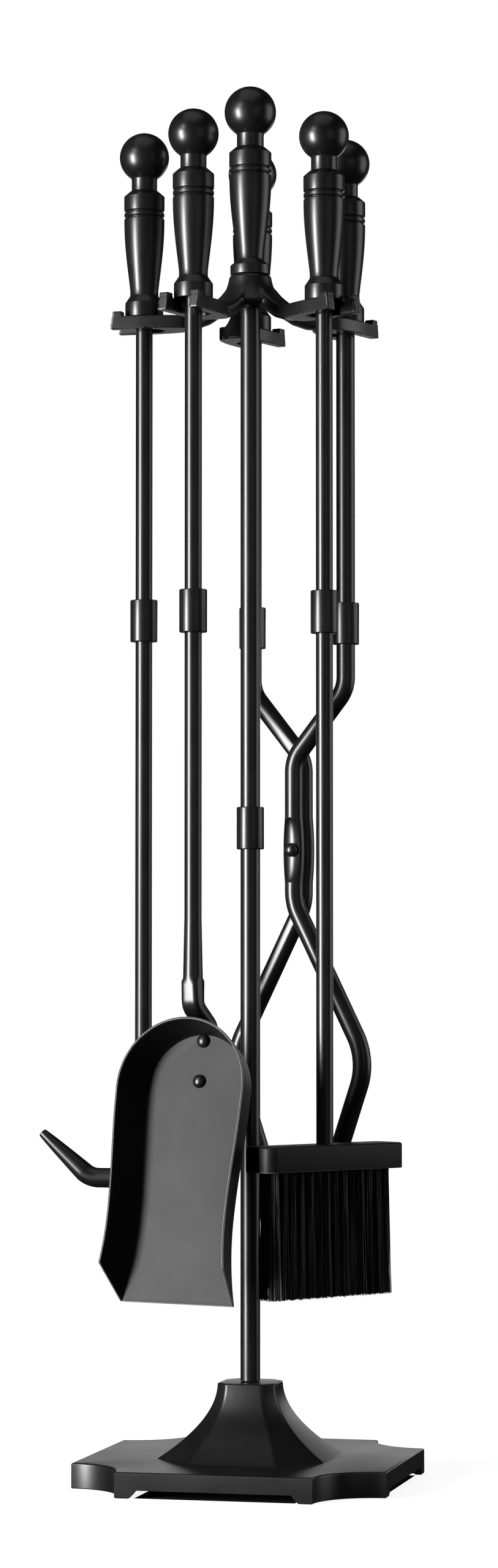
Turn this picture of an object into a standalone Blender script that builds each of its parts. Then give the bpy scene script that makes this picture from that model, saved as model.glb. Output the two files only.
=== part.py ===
# Fireplace tool set: a stand with a five-armed hub, and a poker, a shovel, a brush and a pair of tongs.
# Units are metres, +Z is up, and the stand's feet rest on Z = 0.
from math import atan, cos, pi, radians, sin, sqrt, tan

import bmesh
import bpy
from mathutils import Matrix, Vector

MM = 0.001
GAP = 0.3 * MM               # clearance left between two solids that touch

# Base casting
BASE_HALF = 91.5 * MM        # half the width of the square plate
NOTCH_RADIUS = 34.7 * MM     # quarter-round notch at each corner
BASE_HEIGHT = 14.6 * MM
BASE_WALL = 4.0 * MM
BASE_EDGE = 0.9 * MM         # rounding of the plate's outer edges
ARCH_HEIGHT = 4.6 * MM       # shallow arch cut into each side of the skirt
FOOT_LENGTH = 8.0 * MM       # length of skirt left standing at each end of a side
ARCH_SLANT = 4.0 * MM
PEDESTAL_TOP = 57.2 * MM
PEDESTAL_TOP_HALF = 17.1 * MM
PEDESTAL_FLARE = 32.0 * MM   # how far the pedestal spreads from its top to the plate
PEDESTAL_FLAT = 0.625        # half width of a corner-cut side, as a share of the half width, at the top
PEDESTAL_FOOT_FLAT = 0.53    # the same share at the plate
PEDESTAL_WALL = 5.0 * MM

# Pole
POLE_RADIUS = 5.75 * MM
POLE_COUPLING_BOTTOM = 365.2 * MM
COUPLING_LENGTH = 24.6 * MM
COUPLING_RADIUS = 8.0 * MM
BOLT_RADIUS = 3.0 * MM

# Hub
HUB_TURN = radians(-107.3)   # direction of the shovel's arm, seen from above
ARM_SPACING = radians(72)    # poker and brush arms, each side of the shovel's
RING_RADIUS = 64.0 * MM      # pole axis to the poker, shovel and brush rods
TONGS_REACH = 56.8 * MM      # pole axis to the plane through the two tongs rods
TONGS_HALF = 32.0 * MM       # half the distance between the two tongs rods
HUB_TOP = 701.2 * MM
HUB_UNDER = 682.5 * MM       # underside of the boss where the pole comes out
BOSS_RADIUS = 12.0 * MM
WEB_HALF = 5.6 * MM          # half the thickness of an arm's web
PLATE_BOTTOM = 670.8 * MM
PLATE_THICK = 7.6 * MM
TOOTH_HEIGHT = 2.8 * MM
PRONG_OUTER = 13.2 * MM      # fork centre line to the outside of a prong
SLOT_HALF = 6.6 * MM         # at the seat
MOUTH_HALF = 7.4 * MM        # at the prong tips
SLOT_CENTRE = 5.5 * MM       # rod axis back to the centre of the slot's round end
PRONG_LENGTH = 17.6 * MM     # rod axis to the prong's bottom edge
PRONG_SLOPE = 1.7 * MM       # how far the end face leans back at the tooth's top
TOOTH_LENGTH = 5.7 * MM
FORK_ROOT = 27.0 * MM        # rod axis back to where the fork has narrowed to its arm
ROOT_HALF = 5.4 * MM

# Handles
HANDLE_BOTTOM = PLATE_BOTTOM + PLATE_THICK + GAP
HANDLE_LENGTH = 74.8 * MM    # collar bottom to the foot of the ball's neck
STAND_HANDLE_LENGTH = 75.4 * MM
COLLAR_RADIUS = 11.2 * MM
WAIST_RADIUS = 8.3 * MM
BAND_RADIUS = 11.9 * MM
NECK_RADIUS = 7.5 * MM
BALL_RADIUS = 14.6 * MM
BALL_RISE = 20.1 * MM        # foot of the neck to the ball's centre
STAND_BALL_RADIUS = 15.2 * MM
STAND_BALL_RISE = 20.9 * MM

# Rods
ROD_RADIUS = 4.95 * MM
TONGS_ROD_RADIUS = 5.55 * MM
TOOL_COUPLING_BOTTOM = 487.3 * MM
ROD_IN_HANDLE = 30.0 * MM

# Poker
POKER_TIP = 118.0 * MM
POKER_TAPER = 34.0 * MM
HOOK_HEIGHT = 173.6 * MM
HOOK_REACH = 32.0 * MM       # shaft axis to the hook's bend
HOOK_TIP_OUT = 61.2 * MM
HOOK_TIP_HEIGHT = 199.8 * MM
HOOK_RADIUS = 5.75 * MM
HOOK_TIP_RADIUS = 2.45 * MM

# Shovel
PAN_LIP_HEIGHT = 107.6 * MM
PAN_TILT = atan(0.2)         # lip further out than the top
PAN_TOP_INSET = 11.9 * MM    # floor behind the rod axis at the upper rivet
UPPER_RIVET_HEIGHT = 254.6 * MM
RIVET_SPACING = 23.2 * MM
PAN_LIP_HALF = 36.4 * MM
PAN_WAIST_HALF = 30.4 * MM
PAN_ARCH_RADIUS = 33.4 * MM
PAN_LENGTH = 153.5 * MM      # lip to the top of the arch, along the floor
PAN_WAIST = 47.0 * MM        # lip to the narrowest place
PAN_WALL_HEIGHT = 22.0 * MM
PAN_FLARE = radians(19)      # walls lean out from square to the floor
PAN_LIP_SLANT = 19.0 * MM    # how far the walls' front ends lean back
PAN_SHEET = 1.2 * MM
PAN_HEEL_FLARE = 0.73        # share of the lean left at the top of the arch
PAN_RIVET_HEAD = 3.85 * MM
TAB_HALF_WIDTH = 6.0 * MM
TAB_HALF_THICK = 2.5 * MM
TAB_ABOVE_RIVET = 8.5 * MM   # upper rivet to the tab's bend
TAB_STEP = 12.5 * MM         # height of the slant between the tab and the upright rod
TAB_SWELL = 50.0 * MM        # length over which the rod widens down to the bend

# Brush
HOLDER_LENGTH = 105.0 * MM
HOLDER_DEPTH = 24.0 * MM
HOLDER_TOP = 196.2 * MM
HOLDER_BOTTOM = 181.7 * MM
HOLDER_CORNER = 6.0 * MM
BRISTLE_LENGTH = 89.0 * MM
BRISTLE_DEPTH = 14.0 * MM
BRISTLE_BOTTOM = 109.6 * MM

# Tongs
ELBOW_TOP = 461.0 * MM
MIDDLE_TOP = 420.0 * MM
MIDDLE_BOTTOM = 334.0 * MM
PIVOT_HEIGHT = 366.0 * MM
JAW_ELBOW = 242.0 * MM
JAW_HALF = 46.0 * MM
JAW_TIP = 130.0 * MM
JAW_TIP_HALF = 6.1 * MM
ARM_OFFSET = TONGS_ROD_RADIUS + GAP / 2   # middle of an arm to the plane where the arms meet
SCOOP_LENGTH = 19.4 * MM     # half the length of the hollow round the rivet's head
SCOOP_HALF = 6.6 * MM        # half the width of the form that presses it
SCOOP_DEPTH = 3.8 * MM
SCOOP_SEAT = 2.5 * MM        # where the rivet's head bears on the hollow, below the arm's surface
SCOOP_SWELL = 0.2            # share by which the arm widens beside the hollow
TONGS_SHANK = 2.3 * MM
ELBOW_BENDS = (20 * MM, 22 * MM, 32 * MM, 38 * MM)


# Materials ---------------------------------------------------------------------------------------

def finish(name, colour, roughness, metallic):
    material = bpy.data.materials.new(name)
    material.use_nodes = True
    shader = material.node_tree.nodes["Principled BSDF"]
    shader.inputs["Base Color"].default_value = (*colour, 1.0)
    shader.inputs["Roughness"].default_value = roughness
    shader.inputs["Metallic"].default_value = metallic
    material.diffuse_color = (*colour, 1.0)
    return material


# Mesh helpers ------------------------------------------------------------------------------------

def add_object(name, bm, material, parent=None, smooth_angle=35):
    bmesh.ops.recalc_face_normals(bm, faces=bm.faces)
    mesh = bpy.data.meshes.new(name)
    bm.to_mesh(mesh)
    bm.free()
    mesh.shade_smooth()
    mesh.set_sharp_from_angle(angle=radians(smooth_angle))
    mesh.materials.append(material)
    thing = bpy.data.objects.new(name, mesh)
    bpy.context.scene.collection.objects.link(thing)
    thing.parent = parent
    return thing


def add_empty(name, location, turn=0.0):
    empty = bpy.data.objects.new(name, None)
    empty.location = location
    empty.rotation_euler = (0, 0, turn)
    bpy.context.scene.collection.objects.link(empty)
    return empty


def turned(profile, segments=16):
    # Spins a profile of (radius, height) points about Z; ends on the axis close the shape.
    bm = bmesh.new()
    points = [bm.verts.new((r, 0, z)) for r, z in profile]
    edges = [bm.edges.new(pair) for pair in zip(points, points[1:])]
    if profile[0][0] > 0:
        edges.append(bm.edges.new((points[-1], points[0])))
    bmesh.ops.spin(bm, geom=points + edges, cent=(0, 0, 0), axis=(0, 0, 1), angle=2 * pi, steps=segments,
                   use_merge=True)
    bmesh.ops.remove_doubles(bm, verts=bm.verts, dist=1e-6)
    return bm


def extruded(outline, bottom, top):
    bm = bmesh.new()
    face = bm.faces.new([bm.verts.new((x, y, bottom)) for x, y in outline])
    made = bmesh.ops.extrude_face_region(bm, geom=[face])
    lifted = [v for v in made["geom"] if isinstance(v, bmesh.types.BMVert)]
    bmesh.ops.translate(bm, verts=lifted, vec=(0, 0, top - bottom))
    return bm


def lofted(rings):
    # Joins rings that have the same number of points, and closes both ends.
    bm = bmesh.new()
    rows = [[bm.verts.new(point) for point in ring] for ring in rings]
    for lower, upper in zip(rows, rows[1:]):
        for i in range(len(lower)):
            j = (i + 1) % len(lower)
            bm.faces.new((lower[i], lower[j], upper[j], upper[i]))
    bm.faces.new(list(reversed(rows[0])))
    bm.faces.new(rows[-1])
    return bm


def rounded_path(points, bends, steps=5):
    # Replaces each inner corner by an arc; bends holds one bend radius for each inner corner.
    points = [Vector(p) for p in points]
    path = [points[0]]
    for bend, before, corner, after in zip(bends, points, points[1:], points[2:]):
        back = (before - corner).normalized()
        ahead = (after - corner).normalized()
        half = back.angle(ahead) / 2
        reach = min(bend / tan(half), (before - corner).length * 0.48, (after - corner).length * 0.48)
        middle = corner + (back + ahead).normalized() * (reach / cos(half))
        start = corner + back * reach - middle
        end = corner + ahead * reach - middle
        path += [middle + start.slerp(end, k / steps) * start.length for k in range(steps + 1)]
    path.append(points[-1])
    return path


def swept(path, section, side, segments=16, fit=None):
    # Carries a flattened circle along a path. section(point) gives its radius and the half height it is
    # pressed to; side is the direction it keeps its width in; fit may move a finished point.
    side = Vector(side)
    rings = []
    for i, point in enumerate(path):
        along = (path[min(i + 1, len(path) - 1)] - path[max(i - 1, 0)]).normalized()
        across = side.cross(along).normalized()
        radius, press = section(point)
        ring = []
        for k in range(segments):
            turn = 2 * pi * k / segments
            height = max(-press, min(press, radius * sin(turn)))
            spot = point + side * (radius * cos(turn)) + across * height
            ring.append(fit(spot) if fit else spot)
        rings.append(ring)
    return lofted(rings)


def rounded_rectangle(length, depth, corner, steps=5):
    outline = []
    for sx, sy, start in ((1, 1, 0), (-1, 1, 90), (-1, -1, 180), (1, -1, 270)):
        for k in range(steps + 1):
            turn = radians(start + 90 * k / steps)
            outline.append((sx * (length / 2 - corner) + corner * cos(turn),
                            sy * (depth / 2 - corner) + corner * sin(turn)))
    return outline


def add_cutter(name, bm, material, parent=None):
    cutter = add_object(name, bm, material, parent)
    cutter.hide_render = True
    cutter.display_type = "WIRE"
    return cutter


def combine(target, tool, operation):
    modifier = target.modifiers.new(operation.title() + " " + tool.name, "BOOLEAN")
    modifier.operation = operation
    modifier.solver = "EXACT"
    modifier.object = tool
    return modifier


def add_bevel(target, width, segments=2, angle=30):
    modifier = target.modifiers.new("Edge", "BEVEL")
    modifier.width = width
    modifier.segments = segments
    modifier.limit_method = "ANGLE"
    modifier.angle_limit = radians(angle)
    return modifier


# Stand -------------------------------------------------------------------------------------------

def notched_square(half, notch, steps=6):
    # A square whose corners are bitten out by quarter circles centred on the corners.
    outline = []
    for quarter in range(4):
        turn = Matrix.Rotation(quarter * pi / 2, 2)
        for k in range(steps + 1):
            bite = radians(180 + 90 * (1 - k / steps))
            spot = Vector((half + notch * cos(bite), half + notch * sin(bite)))
            outline.append(tuple(turn @ spot))
    return outline


def pedestal_half(z):
    drop = (PEDESTAL_TOP - z) / (PEDESTAL_TOP - BASE_HEIGHT)
    return PEDESTAL_TOP_HALF + PEDESTAL_FLARE * drop ** 2


def eight_sided(half, z):
    spread = min(1.0, (half - PEDESTAL_TOP_HALF) / PEDESTAL_FLARE)
    flat = half * (PEDESTAL_FLAT + (PEDESTAL_FOOT_FLAT - PEDESTAL_FLAT) * spread)
    corners = ((half, flat), (flat, half), (-flat, half), (-half, flat),
               (-half, -flat), (-flat, -half), (flat, -half), (half, -flat))
    return [(x, y, z) for x, y in corners]


def build_base(black):
    base = add_object("base_casting", extruded(notched_square(BASE_HALF, NOTCH_RADIUS), 0, BASE_HEIGHT), black)
    add_bevel(base, BASE_EDGE, 2, 50)

    sunk = BASE_HEIGHT - 2 * MM
    heights = [PEDESTAL_TOP + (BASE_HEIGHT - PEDESTAL_TOP) * k / 8 for k in range(9)]
    rings = [eight_sided(pedestal_half(z), z) for z in heights]
    rings.append(eight_sided(pedestal_half(BASE_HEIGHT), sunk))
    pedestal = add_cutter("pedestal_form", lofted(rings), black)
    add_bevel(pedestal, 0.9 * MM, 1, 60)
    combine(base, pedestal, "UNION")

    inner_half = BASE_HALF - BASE_WALL
    hollow = notched_square(inner_half, NOTCH_RADIUS)
    cavity = add_cutter("skirt_cavity", extruded(hollow, -2 * MM, BASE_HEIGHT - BASE_WALL), black)
    combine(base, cavity, "DIFFERENCE")

    roof = PEDESTAL_TOP - 2 * PEDESTAL_WALL
    levels = [BASE_HEIGHT - BASE_WALL - MM + (roof - BASE_HEIGHT + BASE_WALL + MM) * k / 5 for k in range(6)]
    inner = [eight_sided(pedestal_half(max(z, BASE_HEIGHT)) - PEDESTAL_WALL, z) for z in levels]
    core = add_cutter("pedestal_core", lofted(inner), black)
    combine(base, core, "DIFFERENCE")

    bore = BOLT_RADIUS + GAP
    hole = turned([(0, roof - MM), (bore, roof - MM), (bore, PEDESTAL_TOP + MM), (0, PEDESTAL_TOP + MM)])
    combine(base, add_cutter("bolt_bore", hole, black), "DIFFERENCE")

    side_half = BASE_HALF - NOTCH_RADIUS
    low, high = side_half - FOOT_LENGTH, side_half - FOOT_LENGTH - ARCH_SLANT
    arch = ((-low, -MM), (low, -MM), (high, ARCH_HEIGHT), (-high, ARCH_HEIGHT))
    for number in range(2):
        bm = extruded(arch, -BASE_HALF * 1.2, BASE_HALF * 1.2)
        turn = Matrix.Rotation(number * pi / 2, 3, "Z") @ Matrix.Rotation(pi / 2, 3, "X")
        bmesh.ops.transform(bm, matrix=turn.to_4x4(), verts=bm.verts)
        combine(base, add_cutter("arch_%d" % (number + 1), bm, black), "DIFFERENCE")
    return roof


def build_pole(black, steel, roof):
    middle = POLE_COUPLING_BOTTOM + COUPLING_LENGTH / 2
    top = HUB_UNDER - GAP
    bore = BOLT_RADIUS + GAP
    bottom = PEDESTAL_TOP + GAP
    lower = turned([(bore, bottom), (POLE_RADIUS, bottom), (POLE_RADIUS, middle - GAP / 2),
                    (0, middle - GAP / 2), (0, bottom + 30 * MM), (bore, bottom + 30 * MM)])
    add_object("lower_pole", lower, black)
    upper = turned([(0, middle + GAP / 2), (POLE_RADIUS, middle + GAP / 2), (POLE_RADIUS, top),
                    (bore, top), (bore, top - 18 * MM), (0, top - 18 * MM)])
    add_object("upper_pole", upper, black)
    build_coupling("pole_coupling", POLE_RADIUS, POLE_COUPLING_BOTTOM, black)

    head = roof - GAP - 1.6 * MM - GAP
    bolt = turned([(0, head - 4 * MM), (5.4 * MM, head - 4 * MM), (5.4 * MM, head), (BOLT_RADIUS, head),
                   (BOLT_RADIUS, bottom + 28 * MM), (0, bottom + 28 * MM)], 6)
    add_object("pole_bolt", bolt, steel)
    washer = turned([(bore, head + GAP), (7.5 * MM, head + GAP), (7.5 * MM, head + GAP + 1.6 * MM),
                     (bore, head + GAP + 1.6 * MM)])
    add_object("pole_washer", washer, steel)


def build_coupling(name, rod_radius, bottom, material, parent=None):
    # An open sleeve with small chamfers, over the ends of two rods.
    bore, top, chamfer = rod_radius + GAP, bottom + COUPLING_LENGTH, 0.5 * MM
    outer = COUPLING_RADIUS
    profile = [(bore, bottom), (outer - chamfer, bottom), (outer, bottom + chamfer), (outer, top - chamfer),
               (outer - chamfer, top), (bore, top)]
    return add_object(name, turned(profile), material, parent)


def web_profile():
    # Side view of an arm's web: distance from the pole axis, and height.
    plate_top = PLATE_BOTTOM + PLATE_THICK
    return [(2 * MM, HUB_UNDER), (10 * MM, HUB_UNDER), (17 * MM, 678.6 * MM), (25 * MM, 673.6 * MM),
            (33 * MM, PLATE_BOTTOM + 0.4 * MM), (43 * MM, PLATE_BOTTOM), (43 * MM, plate_top),
            (35 * MM, 679.6 * MM), (28 * MM, 682 * MM), (22 * MM, 685.4 * MM), (17.4 * MM, 689 * MM),
            (13.6 * MM, 693.4 * MM), (11 * MM, 695.6 * MM), (2 * MM, 695.6 * MM)]


def fork_outline(tip, steps=6):
    # One half of the fork seen from above, mirrored: round slot end, prong tips, and sides that narrow
    # in an elliptic sweep to the arm. tip is how far the prongs reach past the rod axis.
    half = [(tip, MOUTH_HALF)]
    for k in range(steps + 1):
        turn = radians(90 + 90 * k / steps)
        half.append((-SLOT_CENTRE + SLOT_HALF * cos(turn), SLOT_HALF * sin(turn)))
    inner = half + [(u, -v) for u, v in reversed(half[:-1])]
    sweep_start = 2 * MM
    span = FORK_ROOT + sweep_start
    outer = [(tip, -PRONG_OUTER)]
    for k in range(steps + 1):
        share = sin(pi / 2 * k / steps)
        outer.append((sweep_start - span * share,
                      -ROOT_HALF - (PRONG_OUTER - ROOT_HALF) * sqrt(max(0.0, 1 - share ** 2))))
    return inner + outer + [(u, -v) for u, v in reversed(outer)]


def fork_solid():
    # The plate and, on its prong tips, the two teeth; the end faces lean back towards the top.
    full = PLATE_THICK + TOOTH_HEIGHT
    bottom, plate_top = PLATE_BOTTOM, PLATE_BOTTOM + PLATE_THICK
    lean = PRONG_SLOPE * PLATE_THICK / full
    rings = [[(u, v, bottom) for u, v in fork_outline(PRONG_LENGTH)],
             [(u, v, plate_top) for u, v in fork_outline(PRONG_LENGTH - lean)]]
    plate = lofted(rings)
    teeth = []
    low, high = PRONG_LENGTH - lean, PRONG_LENGTH - PRONG_SLOPE
    back = high - TOOTH_LENGTH
    inset = 0.6 * MM
    for side in (1, -1):
        # Starts a little inside the plate, so that the two solids overlap before they are joined.
        sunk = plate_top - inset
        reach = low + PRONG_SLOPE * inset / full
        mouth = MOUTH_HALF + 0.02 * MM
        outer = PRONG_OUTER - 0.02 * MM
        rings = []
        for end, z in ((reach - 0.02 * MM, sunk), (high, bottom + full)):
            rings.append([(back, side * mouth, z), (end, side * mouth, z),
                          (end, side * outer, z), (back, side * outer, z)])
        teeth.append(lofted(rings))
    return plate, teeth


def arm_places():
    # Where each fork stands on the ring: name, position of its rod axis, direction it opens in.
    places = []
    for name, step in (("shovel", 0), ("brush", 1), ("poker", -1)):
        turn = HUB_TURN + step * ARM_SPACING
        places.append((name, Vector((cos(turn), sin(turn), 0)) * RING_RADIUS, turn))
    turn = HUB_TURN + pi
    out = Vector((cos(turn), sin(turn), 0))
    across = Vector((-sin(turn), cos(turn), 0))
    places.append(("tongs_front", out * TONGS_REACH - across * TONGS_HALF, turn))
    places.append(("tongs_back", out * TONGS_REACH + across * TONGS_HALF, turn))
    return places


def build_hub(black):
    boss = [(0, HUB_UNDER), (15 * MM, HUB_UNDER), (18.2 * MM, HUB_UNDER + 1.6 * MM), (18.4 * MM, 685.4 * MM),
            (15.9 * MM, 689.2 * MM), (13.8 * MM, 694.2 * MM), (BOSS_RADIUS + 0.7 * MM, 697.8 * MM),
            (BOSS_RADIUS + 0.2 * MM, HUB_TOP - 0.5 * MM), (BOSS_RADIUS - 0.3 * MM, HUB_TOP), (0, HUB_TOP)]
    hub = add_object("hub", turned(boss, 24), black, smooth_angle=40)
    for name, place, turn in arm_places():
        root = place - Vector((cos(turn), sin(turn), 0)) * (FORK_ROOT - 3 * MM)
        heading = root.to_2d().angle_signed(Vector((1, 0)))
        web = extruded(web_profile(), -WEB_HALF, WEB_HALF)
        stretch = root.length / (43 * MM) if name.startswith("tongs") else 1.0
        upright = Matrix.Rotation(pi / 2, 4, "X")
        grow = Matrix.Scale(stretch, 4, (1, 0, 0))
        bmesh.ops.transform(web, matrix=Matrix.Rotation(heading, 4, "Z") @ grow @ upright, verts=web.verts)
        form = add_cutter(name + "_web_form", web, black)
        add_bevel(form, 2.6 * MM, 2, 50)
        combine(hub, form, "UNION")

        plate, teeth = fork_solid()
        fork_place = Matrix.Translation(place) @ Matrix.Rotation(turn, 4, "Z")
        bmesh.ops.transform(plate, matrix=fork_place, verts=plate.verts)
        plate_form = add_cutter(name + "_fork_form", plate, black)
        for number, tooth in enumerate(teeth):
            bmesh.ops.transform(tooth, matrix=fork_place, verts=tooth.verts)
            combine(plate_form, add_cutter("%s_tooth_form_%d" % (name, number + 1), tooth, black), "UNION")
        combine(hub, plate_form, "UNION")
    bore = BOLT_RADIUS + GAP
    hole = turned([(0, HUB_UNDER - MM), (bore, HUB_UNDER - MM), (bore, HUB_TOP + MM), (0, HUB_TOP + MM)])
    combine(hub, add_cutter("stud_bore", hole, black), "DIFFERENCE")


# Handles -----------------------------------------------------------------------------------------

def handle_profile(length, bore, bore_depth, collar, spigot, shoulder_rise=3.4 * MM):
    # Collar, chamfer, waist, tapering grip, two grooves, band and its chamfered shoulder.
    shoulder = length - 2.9 * MM
    band_foot = shoulder - 7.7 * MM
    grip_top = band_foot - 6.6 * MM
    waist_foot = collar + shoulder_rise
    waist_top = waist_foot + 3.6 * MM
    profile = [(0, bore_depth), (bore, bore_depth), (bore, 0), (COLLAR_RADIUS, 0), (COLLAR_RADIUS, collar),
               (WAIST_RADIUS + 0.3 * MM, waist_foot), (WAIST_RADIUS, waist_foot + 0.6 * MM)]
    for k in range(7):
        share = k / 6
        profile.append((WAIST_RADIUS + (BAND_RADIUS - WAIST_RADIUS) * sin(pi / 2 * share) ** 1.1,
                        waist_top + (grip_top - waist_top) * share))
    for foot in (grip_top + 0.6 * MM, grip_top + 3.9 * MM):
        profile += [(BAND_RADIUS - 0.1 * MM, foot), (BAND_RADIUS - 1.0 * MM, foot + 0.8 * MM),
                    (BAND_RADIUS - 0.1 * MM, foot + 1.6 * MM)]
    profile += [(BAND_RADIUS, band_foot), (BAND_RADIUS, shoulder - 0.6 * MM),
                (BAND_RADIUS - 0.7 * MM, shoulder + 0.4 * MM), (NECK_RADIUS + 0.8 * MM, length),
                (spigot, length), (spigot, length - 10 * MM), (0, length - 10 * MM)]
    return profile


def ball_profile(radius, rise, neck, spigot):
    # Spigot, neck and ball; heights run from the foot of the neck.
    profile = [(0, -8 * MM), (spigot - GAP, -8 * MM), (spigot - GAP, GAP), (neck, GAP)]
    start = -sqrt(radius ** 2 - neck ** 2)
    first = atan(start / neck)
    for k in range(8):
        turn = first + (pi / 2 - first) * k / 7
        profile.append((radius * cos(turn) if k < 7 else 0, rise + radius * sin(turn)))
    return profile


def build_handle(name, material, parent, rod_radius):
    spigot = 3.5 * MM
    profile = handle_profile(HANDLE_LENGTH, rod_radius + GAP, ROD_IN_HANDLE + GAP, 8.8 * MM, spigot)
    handle = add_object(name + "_handle", turned(profile), material, parent, 32)
    handle.location.z = HANDLE_BOTTOM
    ball = add_object(name + "_ball", turned(ball_profile(BALL_RADIUS, BALL_RISE, NECK_RADIUS, spigot)),
                      material, parent, 40)
    ball.location.z = HANDLE_BOTTOM + HANDLE_LENGTH


def build_stand_handle(black, steel):
    spigot = 3.5 * MM
    bottom = HUB_TOP + GAP
    bore = BOLT_RADIUS + GAP
    profile = handle_profile(STAND_HANDLE_LENGTH, bore, 22 * MM, 5.8 * MM, spigot, 2.5 * MM)
    wider = [(r + 0.5 * MM if COLLAR_RADIUS - 0.01 * MM <= r else r, z) for r, z in profile]
    handle = add_object("stand_handle", turned(wider), black, None, 32)
    handle.location.z = bottom
    shape = ball_profile(STAND_BALL_RADIUS, STAND_BALL_RISE, NECK_RADIUS + 0.4 * MM, spigot)
    ball = add_object("stand_ball", turned(shape), black, None, 40)
    ball.location.z = bottom + STAND_HANDLE_LENGTH
    low = HUB_UNDER - GAP - 17 * MM
    add_object("handle_stud", turned([(0, low), (BOLT_RADIUS, low), (BOLT_RADIUS, bottom + 21 * MM),
                                      (0, bottom + 21 * MM)], 12), steel)


# Tools -------------------------------------------------------------------------------------------

def build_upper_rod(name, material, parent, radius):
    low = TOOL_COUPLING_BOTTOM + COUPLING_LENGTH / 2 + GAP / 2
    high = HANDLE_BOTTOM + ROD_IN_HANDLE
    rod = turned([(0, low), (radius, low), (radius, high), (0, high)], 16)
    add_object(name + "_upper_rod", rod, material, parent)
    build_coupling(name + "_coupling", radius, TOOL_COUPLING_BOTTOM, material, parent)
    return TOOL_COUPLING_BOTTOM + COUPLING_LENGTH / 2 - GAP / 2


def build_poker(black, parent):
    build_handle("poker", black, parent, ROD_RADIUS)
    joint = build_upper_rod("poker", black, parent, ROD_RADIUS)
    shaft = [(0, POKER_TIP), (1.0 * MM, POKER_TIP + 0.4 * MM), (2.6 * MM, POKER_TIP + 0.4 * POKER_TAPER),
             (4.2 * MM, POKER_TIP + 0.75 * POKER_TAPER), (ROD_RADIUS, POKER_TIP + POKER_TAPER),
             (ROD_RADIUS, joint), (0, joint)]
    rod = add_object("poker_lower_rod", turned(shaft, 16), black, parent)
    bend = (HOOK_REACH, 0, HOOK_HEIGHT)
    tip = (HOOK_TIP_OUT, 0, HOOK_TIP_HEIGHT)
    path = rounded_path([(-0.6 * MM, 0, HOOK_HEIGHT), bend, tip], [14 * MM], 6)
    length = (Vector(tip) - path[-2]).length

    def taper(point):
        left = max(0.0, min(1.0, (Vector(tip) - point).length / length))
        radius = HOOK_TIP_RADIUS + (HOOK_RADIUS - HOOK_TIP_RADIUS) * left ** 0.8
        return radius, radius

    start, end = path[-2], path[-1]
    path = path[:-1] + [start.lerp(end, share) for share in (0.25, 0.5, 0.75, 1.0)]
    hook = add_cutter("poker_hook_form", swept(path, taper, (0, 1, 0)), black, parent)
    combine(rod, hook, "UNION")


def pan_half_width(p):
    # Half width of the pan's floor at a distance p from the lip, up to where the arch begins.
    arch = PAN_LENGTH - PAN_ARCH_RADIUS
    if p < PAN_WAIST:
        share = 1 - p / PAN_WAIST
        return PAN_WAIST_HALF + (PAN_LIP_HALF - PAN_WAIST_HALF) * share ** 2
    share = (p - PAN_WAIST) / (arch - PAN_WAIST)
    return PAN_WAIST_HALF + (PAN_ARCH_RADIUS - PAN_WAIST_HALF) * (1 - cos(pi * share)) / 2


def pan_edges():
    # Floor edge and rim edge from the right lip corner over the arch to the left one, in the pan's own
    # frame: X across, Y up the floor, Z out of the floor.
    arch = PAN_LENGTH - PAN_ARCH_RADIUS
    floor, rim = [], []
    flare = PAN_WALL_HEIGHT * tan(PAN_FLARE)
    for k in range(11):
        share = k / 10
        p = arch * share
        q = PAN_LIP_SLANT + (arch - PAN_LIP_SLANT) * share
        floor.append(Vector((pan_half_width(p), p, 0)))
        rim.append(Vector((pan_half_width(q) + flare, q, PAN_WALL_HEIGHT)))
    arch_steps = 16
    for k in range(1, arch_steps):
        turn = pi * k / arch_steps
        away = Vector((cos(turn), sin(turn), 0))
        centre = Vector((0, arch, 0))
        floor.append(centre + away * PAN_ARCH_RADIUS)
        lean = flare * (1 - (1 - PAN_HEEL_FLARE) * sin(turn) ** 2)
        rim.append(centre + away * (PAN_ARCH_RADIUS + lean) + Vector((0, 0, PAN_WALL_HEIGHT)))
    mirror = Matrix.Scale(-1, 3, (1, 0, 0))
    floor += [mirror @ point for point in reversed(floor[:11])]
    rim += [mirror @ point for point in reversed(rim[:11])]
    return floor, rim


def pan_sheet():
    bm = bmesh.new()
    floor, rim = pan_edges()
    low = [bm.verts.new(point) for point in floor]
    high = [bm.verts.new(point) for point in rim]
    bm.faces.new(low)
    for a, b, c, d in zip(low, low[1:], high[1:], high):
        bm.faces.new((b, a, d, c))
    return bm


def pan_place():
    # The pan's frame in the shovel's: across the arm, up the tilted floor, and outwards.
    lip_out = -PAN_TOP_INSET + (UPPER_RIVET_HEIGHT - PAN_LIP_HEIGHT) * tan(PAN_TILT)
    across = Vector((0, 1, 0))
    up = Vector((-sin(PAN_TILT), 0, cos(PAN_TILT)))
    out = across.cross(up)
    place = Matrix((across, up, out)).transposed().to_4x4()
    place.translation = Vector((lip_out, 0, PAN_LIP_HEIGHT))
    return place


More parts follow.
